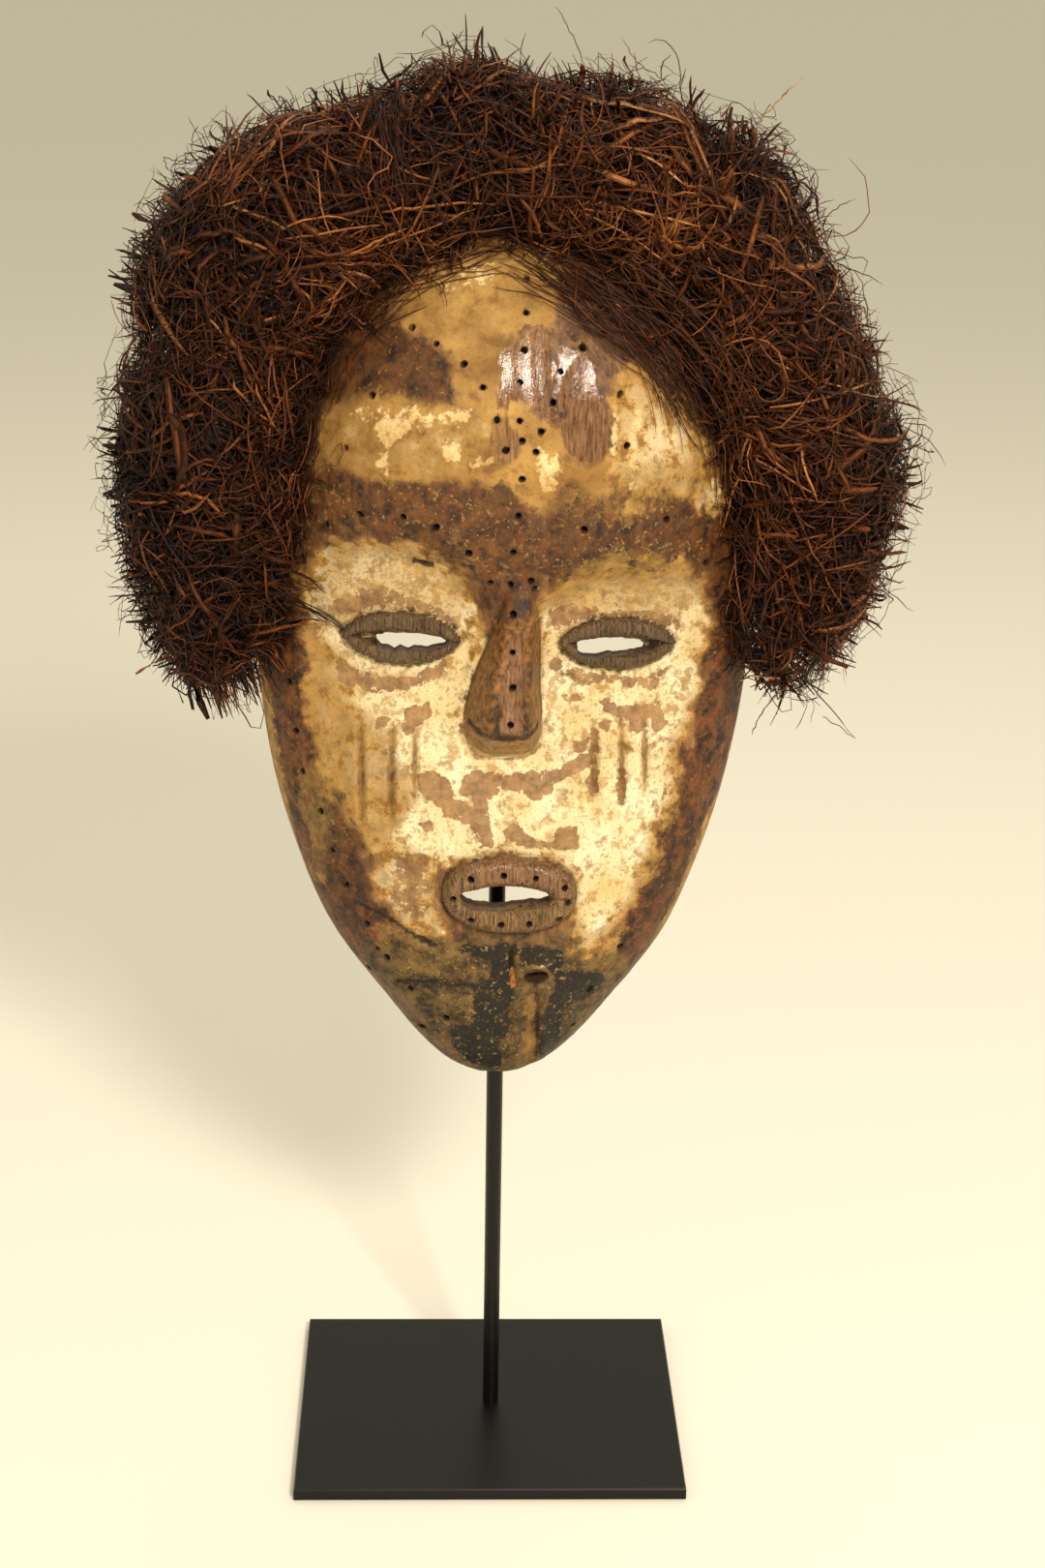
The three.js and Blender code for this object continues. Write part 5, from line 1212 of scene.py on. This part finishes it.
# The strands that stand out in the mass or reach past it, point by point in mm: half width, half
# thickness, tone, how many lie side by side and how far apart, then their lines
longStrands = [
    (0.32, 0.2, 0.36, 11, 4.4, [
        [(6, -44, 311), (19, -46, 306), (38, -46, 295), (49, -44, 286), (63, -41, 269), (71, -40, 257)],
        [(1, -42, 314), (18, -49, 303), (35, -52, 291), (45, -51, 282), (58, -48, 265), (74, -38, 248)],
        [(13, -40, 314), (25, -43, 307), (42, -44, 296), (53, -46, 288), (67, -47, 272), (75, -48, 261)],
        [(20, -50, 302), (29, -54, 293), (40, -54, 284), (46, -52, 280), (55, -49, 270), (62, -46, 257)],
        [(-7, -42, 313), (5, -47, 307), (16, -52, 300), (21, -54, 296), (33, -52, 291), (47, -46, 287)],
        [(33, -46, 306), (45, -48, 299), (56, -50, 291), (68, -48, 274), (74, -46, 261), (78, -44, 247)],
        [(26, -47, 312), (39, -50, 308), (51, -52, 303), (66, -54, 289), (73, -53, 278), (80, -52, 265)],
        [(16, -46, 307), (27, -50, 298), (38, -52, 289), (48, -50, 279), (56, -49, 268), (59, -50, 254)],
        [(38, -47, 303), (48, -46, 293), (57, -45, 282), (67, -40, 264), (71, -38, 250), (74, -37, 236)],
    ]),
    (0.32, 0.2, 0.36, 6, 3.6, [
        [(-40, -42, 300), (-51, -39, 291), (-56, -38, 286), (-63, -38, 274), (-65, -39, 268), (-69, -41, 255)],
        [(-79, -39, 241), (-77, -38, 235), (-76, -38, 229), (-76, -38, 216), (-77, -38, 210), (-78, -40, 204)],
        [(-14, -41, 313), (-26, -40, 309), (-32, -40, 306), (-43, -39, 299), (-48, -39, 294), (-56, -39, 284)],
    ]),
    (0.35, 0.25, 0.2, 6, 2.5, [
        [(-53, -46, 360), (-52, -50, 355), (-50, -54, 349), (-48, -57, 338), (-47, -57, 332)],
        [(-50, -46, 361), (-48, -52, 355), (-47, -54, 349), (-45, -57, 336), (-44, -56, 330)],
        [(-46, -48, 360), (-45, -52, 354), (-44, -55, 348), (-42, -57, 337), (-41, -56, 331)],
        [(-44, -50, 358), (-43, -54, 352), (-42, -56, 346), (-41, -57, 335), (-40, -56, 329)],
    ]),
    (0.7, 0.12, 0.62, 1, 0, [
        [(-37, -56, 329), (-30, -56, 333), (-24, -56, 336), (-11, -57, 341), (-4, -57, 341), (3, -57, 341)],
        [(-49, -56, 326), (-43, -56, 327), (-36, -56, 328), (-24, -54, 330), (-17, -54, 330), (-11, -54, 330)],
        [(16, -47, 319), (28, -52, 316), (33, -54, 320), (43, -57, 328), (49, -57, 330), (62, -55, 333)],
        [(-40, -38, 303), (-34, -40, 305), (-28, -42, 307), (-16, -42, 312), (-10, -41, 315), (-5, -42, 318)],
    ]),
    (0.9, 0.12, 0.58, 1, 0, [
        [(-63, -56, 313), (-57, -54, 312), (-52, -53, 313), (-48, -53, 317), (-43, -54, 320)],
        [(-2, -54, 332), (2, -52, 327), (5, -46, 321), (8, -38, 316)],
        [(-99, -54, 316), (-92, -56, 314), (-86, -57, 312), (-81, -57, 307)],
        [(-88, -54, 328), (-87, -52, 333), (-83, -52, 336), (-78, -52, 338)],
        [(-64, -56, 312), (-58, -54, 312), (-52, -54, 315), (-46, -54, 318), (-40, -54, 321)],
        [(-126, -51, 247), (-121, -54, 252), (-115, -56, 255), (-108, -57, 257)],
        [(-59, -42, 291), (-53, -40, 288), (-48, -40, 293), (-44, -40, 298), (-40, -38, 304)],
        [(-101, -57, 289), (-99, -57, 283), (-96, -57, 278), (-94, -56, 272), (-91, -55, 267)],
    ]),
    (1, 0.12, 0.6, 1, 0, [
        [(-118, -56, 229), (-112, -57, 233), (-106, -57, 237)],
        [(-117, -56, 229), (-110, -57, 228), (-105, -57, 226), (-101, -56, 221)],
        [(82, -36, 215), (87, -44, 220), (91, -50, 224), (96, -54, 228)],
        [(100, -55, 218), (103, -56, 214), (107, -57, 210), (110, -57, 206)],
    ]),
    (0.8, 0.12, 0.6, 1, 0, [
        [(80, -49, 254), (79, -44, 247), (78, -39, 239), (75, -38, 224), (73, -39, 217)],
    ]),
    (0.4, 0.25, 0.32, 3, 1.4, [
        [(-88, -52, 194), (-81, -47, 192), (-75, -41, 189), (-62, -36, 182), (-57, -36, 177), (-53, -37, 171)],
        [(-84, -48, 203), (-78, -42, 201), (-72, -38, 197), (-67, -36, 193)],
        [(-83, -48, 198), (-78, -44, 193), (-73, -38, 188), (-68, -36, 184), (-63, -35, 180)],
    ]),
    (0.3, 0.22, 0.35, 1, 0, [
        [(19, -17, 377), (17, -17, 382), (14, -17, 387), (11, -17, 392), (8, -17, 396)],
        [(53, -36, 362), (52, -36, 368), (51, -36, 374), (50, -36, 380), (46, -36, 385), (39, -36, 385)],
        [(47, -17, 373), (41, -17, 376), (36, -17, 380), (32, -17, 386)],
        [(-26, -17, 377), (-26, -17, 382), (-23, -17, 387)],
        [(99, -40, 321), (105, -40, 323), (112, -40, 324), (118, -40, 332), (117, -40, 338), (115, -40, 344),
         (110, -40, 349)],
        [(99, -43, 317), (106, -38, 315), (113, -35, 312), (120, -34, 310), (126, -34, 307)],
        [(99, -41, 320), (106, -34, 318), (114, -31, 316), (120, -30, 315), (119, -30, 309)],
        [(97, -40, 324), (102, -40, 328), (107, -40, 333), (113, -40, 336)],
        [(107, -52, 286), (114, -47, 287), (122, -45, 288), (129, -44, 289)],
        [(125, -44, 264), (132, -37, 261), (138, -34, 258), (144, -33, 255), (149, -33, 251), (153, -33, 245)],
        [(114, -56, 206), (118, -54, 201), (123, -50, 195), (127, -48, 190), (132, -48, 185)],
        [(104, -57, 191), (108, -56, 185), (111, -54, 179), (114, -53, 173)],
        [(95, -56, 181), (100, -56, 177), (105, -53, 171), (110, -52, 165), (115, -52, 160), (120, -52, 154),
         (125, -52, 149)],
        [(83, -38, 179), (86, -44, 174), (89, -48, 169), (94, -46, 162), (98, -46, 157), (101, -48, 157),
         (101, -48, 166)],
        [(88, -48, 148), (90, -48, 153), (93, -48, 159), (97, -48, 164)],
        [(122, -53, 211), (128, -49, 207), (133, -47, 202), (138, -46, 198), (143, -46, 194)],
        [(118, -56, 213), (125, -52, 215), (132, -46, 216), (138, -43, 219), (143, -42, 220)],
        [(-98, -54, 171), (-99, -49, 162), (-97, -46, 155), (-90, -38, 141), (-87, -35, 145), (-89, -37, 153),
         (-90, -42, 162)],
        [(-116, -42, 165), (-113, -42, 159), (-110, -42, 155), (-104, -42, 153), (-98, -42, 152)],
        [(-126, -46, 165), (-122, -46, 167), (-117, -46, 169)],
        [(-140, -40, 200), (-137, -40, 205), (-134, -43, 210), (-128, -48, 214)],
        [(-133, -22, 323), (-128, -22, 326), (-124, -22, 328), (-118, -22, 328)],
        [(-138, -17, 315), (-134, -17, 312), (-130, -17, 310)],
        [(-126, -17, 340), (-124, -17, 336), (-122, -17, 333)],
        [(-126, -17, 340), (-120, -17, 339), (-114, -17, 338)],
        [(-114, -17, 351), (-116, -17, 347), (-116, -17, 342)],
        [(118, -17, 148), (125, -17, 144), (131, -17, 140)],
    ]),
    (0.7, 0.2, 0.55, 1, 0, [
        [(99, -28, 343), (101, -28, 338), (102, -28, 333), (102, -28, 327)],
        [(114, -54, 189), (117, -50, 182), (119, -48, 176), (121, -48, 170)],
        [(79, -17, 359), (83, -17, 363), (87, -17, 367), (91, -17, 371), (95, -17, 376)],
    ]),
]
linePoints = 12
paths, wide, thin, tones = [], [], [], []
for halfWide, halfThin, tone, copies, apart, drawn in longStrands:
    for points in drawn:
        points = np.array(points, float)
        lengths = np.concatenate([[0], np.cumsum(np.linalg.norm(np.diff(points, axis=0), axis=1))])
        at = np.linspace(0, lengths[-1], linePoints)
        line = np.stack([smoothThrough(np.stack([lengths, points[:, k]], axis=1))(at) for k in range(3)], axis=-1)
        for _ in range(copies):
            shift = rng.normal(0, 1, (2, 3)) * apart
            drift = np.linspace(0, 1, linePoints)[:, None]
            wave = np.sin(drift * rng.uniform(3, 9) + rng.uniform(0, 6)) * rng.normal(0, 0.35 * apart, 3)
            path = line + shift[0] * (1 - drift) + shift[1] * drift + wave + 0.25 * rng.normal(size=line.shape)
            outside = faceDepth(path[:, 0], path[:, 2], 0.8) + 0.5
            path[:, 1] = np.where((outside > 0.5) & (path[:, 1] > -outside), -outside, path[:, 1])
            paths.append(path)
            wide.append(halfWide * rng.uniform(0.7, 1.2))
            thin.append(halfThin)
            tones.append(np.clip(tone + rng.normal(0, 0.12), 0.05, 0.9))
strandMesh("wig_long_strands", np.array(paths), np.array(wide), np.array(thin), np.array(tones))
print("wig: long strands,", len(paths))

# Floor, light and camera. The floor is board, painted matt with a roller.
bpy.ops.mesh.primitive_circle_add(vertices=128, radius=30, fill_type="NGON")
floor = bpy.context.object
floor.name = "floor"
paleFloor, tree, surface = newFinish("pale_floor", {"Roughness": 0.9, "Base Color": linear("#f3eee0")})
floor.data.materials.append(paleFloor)

lights = [  # name, place, aimed at, size, watts, colour
    ("key", (0.46, -1.54, 1.3), (0, 0, 0.33), 0.34, 36, "#fff5e4"),
    ("fill", (-1.5, -1.1, 0.9), (0, 0, 0.3), 1.5, 4, "#fff3e0"),
    ("top", (0.3, 0.6, 1.9), (0, 0, 0.3), 1.6, 10, "#fff7ea"),
]
for name, at, aim, size, watts, hexColour in lights:
    bpy.ops.object.light_add(type="AREA", location=at)
    lamp = bpy.context.object
    lamp.name = name
    lamp.data.size, lamp.data.energy, lamp.data.color = size, watts, linear(hexColour)[:3]
    lamp.rotation_euler = (Vector(aim) - Vector(at)).to_track_quat("-Z", "Y").to_euler()
world = bpy.data.worlds.new("soft_room")
bpy.context.scene.world = world
world.use_nodes = True
room = world.node_tree.nodes["Background"].inputs
room["Color"].default_value, room["Strength"].default_value = linear("#f2ead2"), 0.66
bpy.context.scene.view_settings.view_transform = "Standard"

view = {"place": (-0.0200, -0.9238, 0.5926), "yaw": 1.86, "pitch": 19.11, "roll": 0.95, "lens": 59.58}
bpy.ops.object.camera_add()
camera = bpy.context.object
camera.data.lens, camera.data.sensor_width = view["lens"], 36
stance = Matrix.Translation(view["place"])
for degrees, axis in [(-view["yaw"], "Z"), (90 - view["pitch"], "X"), (view["roll"], "Z")]:
    stance = stance @ Matrix.Rotation(math.radians(degrees), 4, axis)
camera.matrix_world = stance
bpy.context.scene.camera = camera
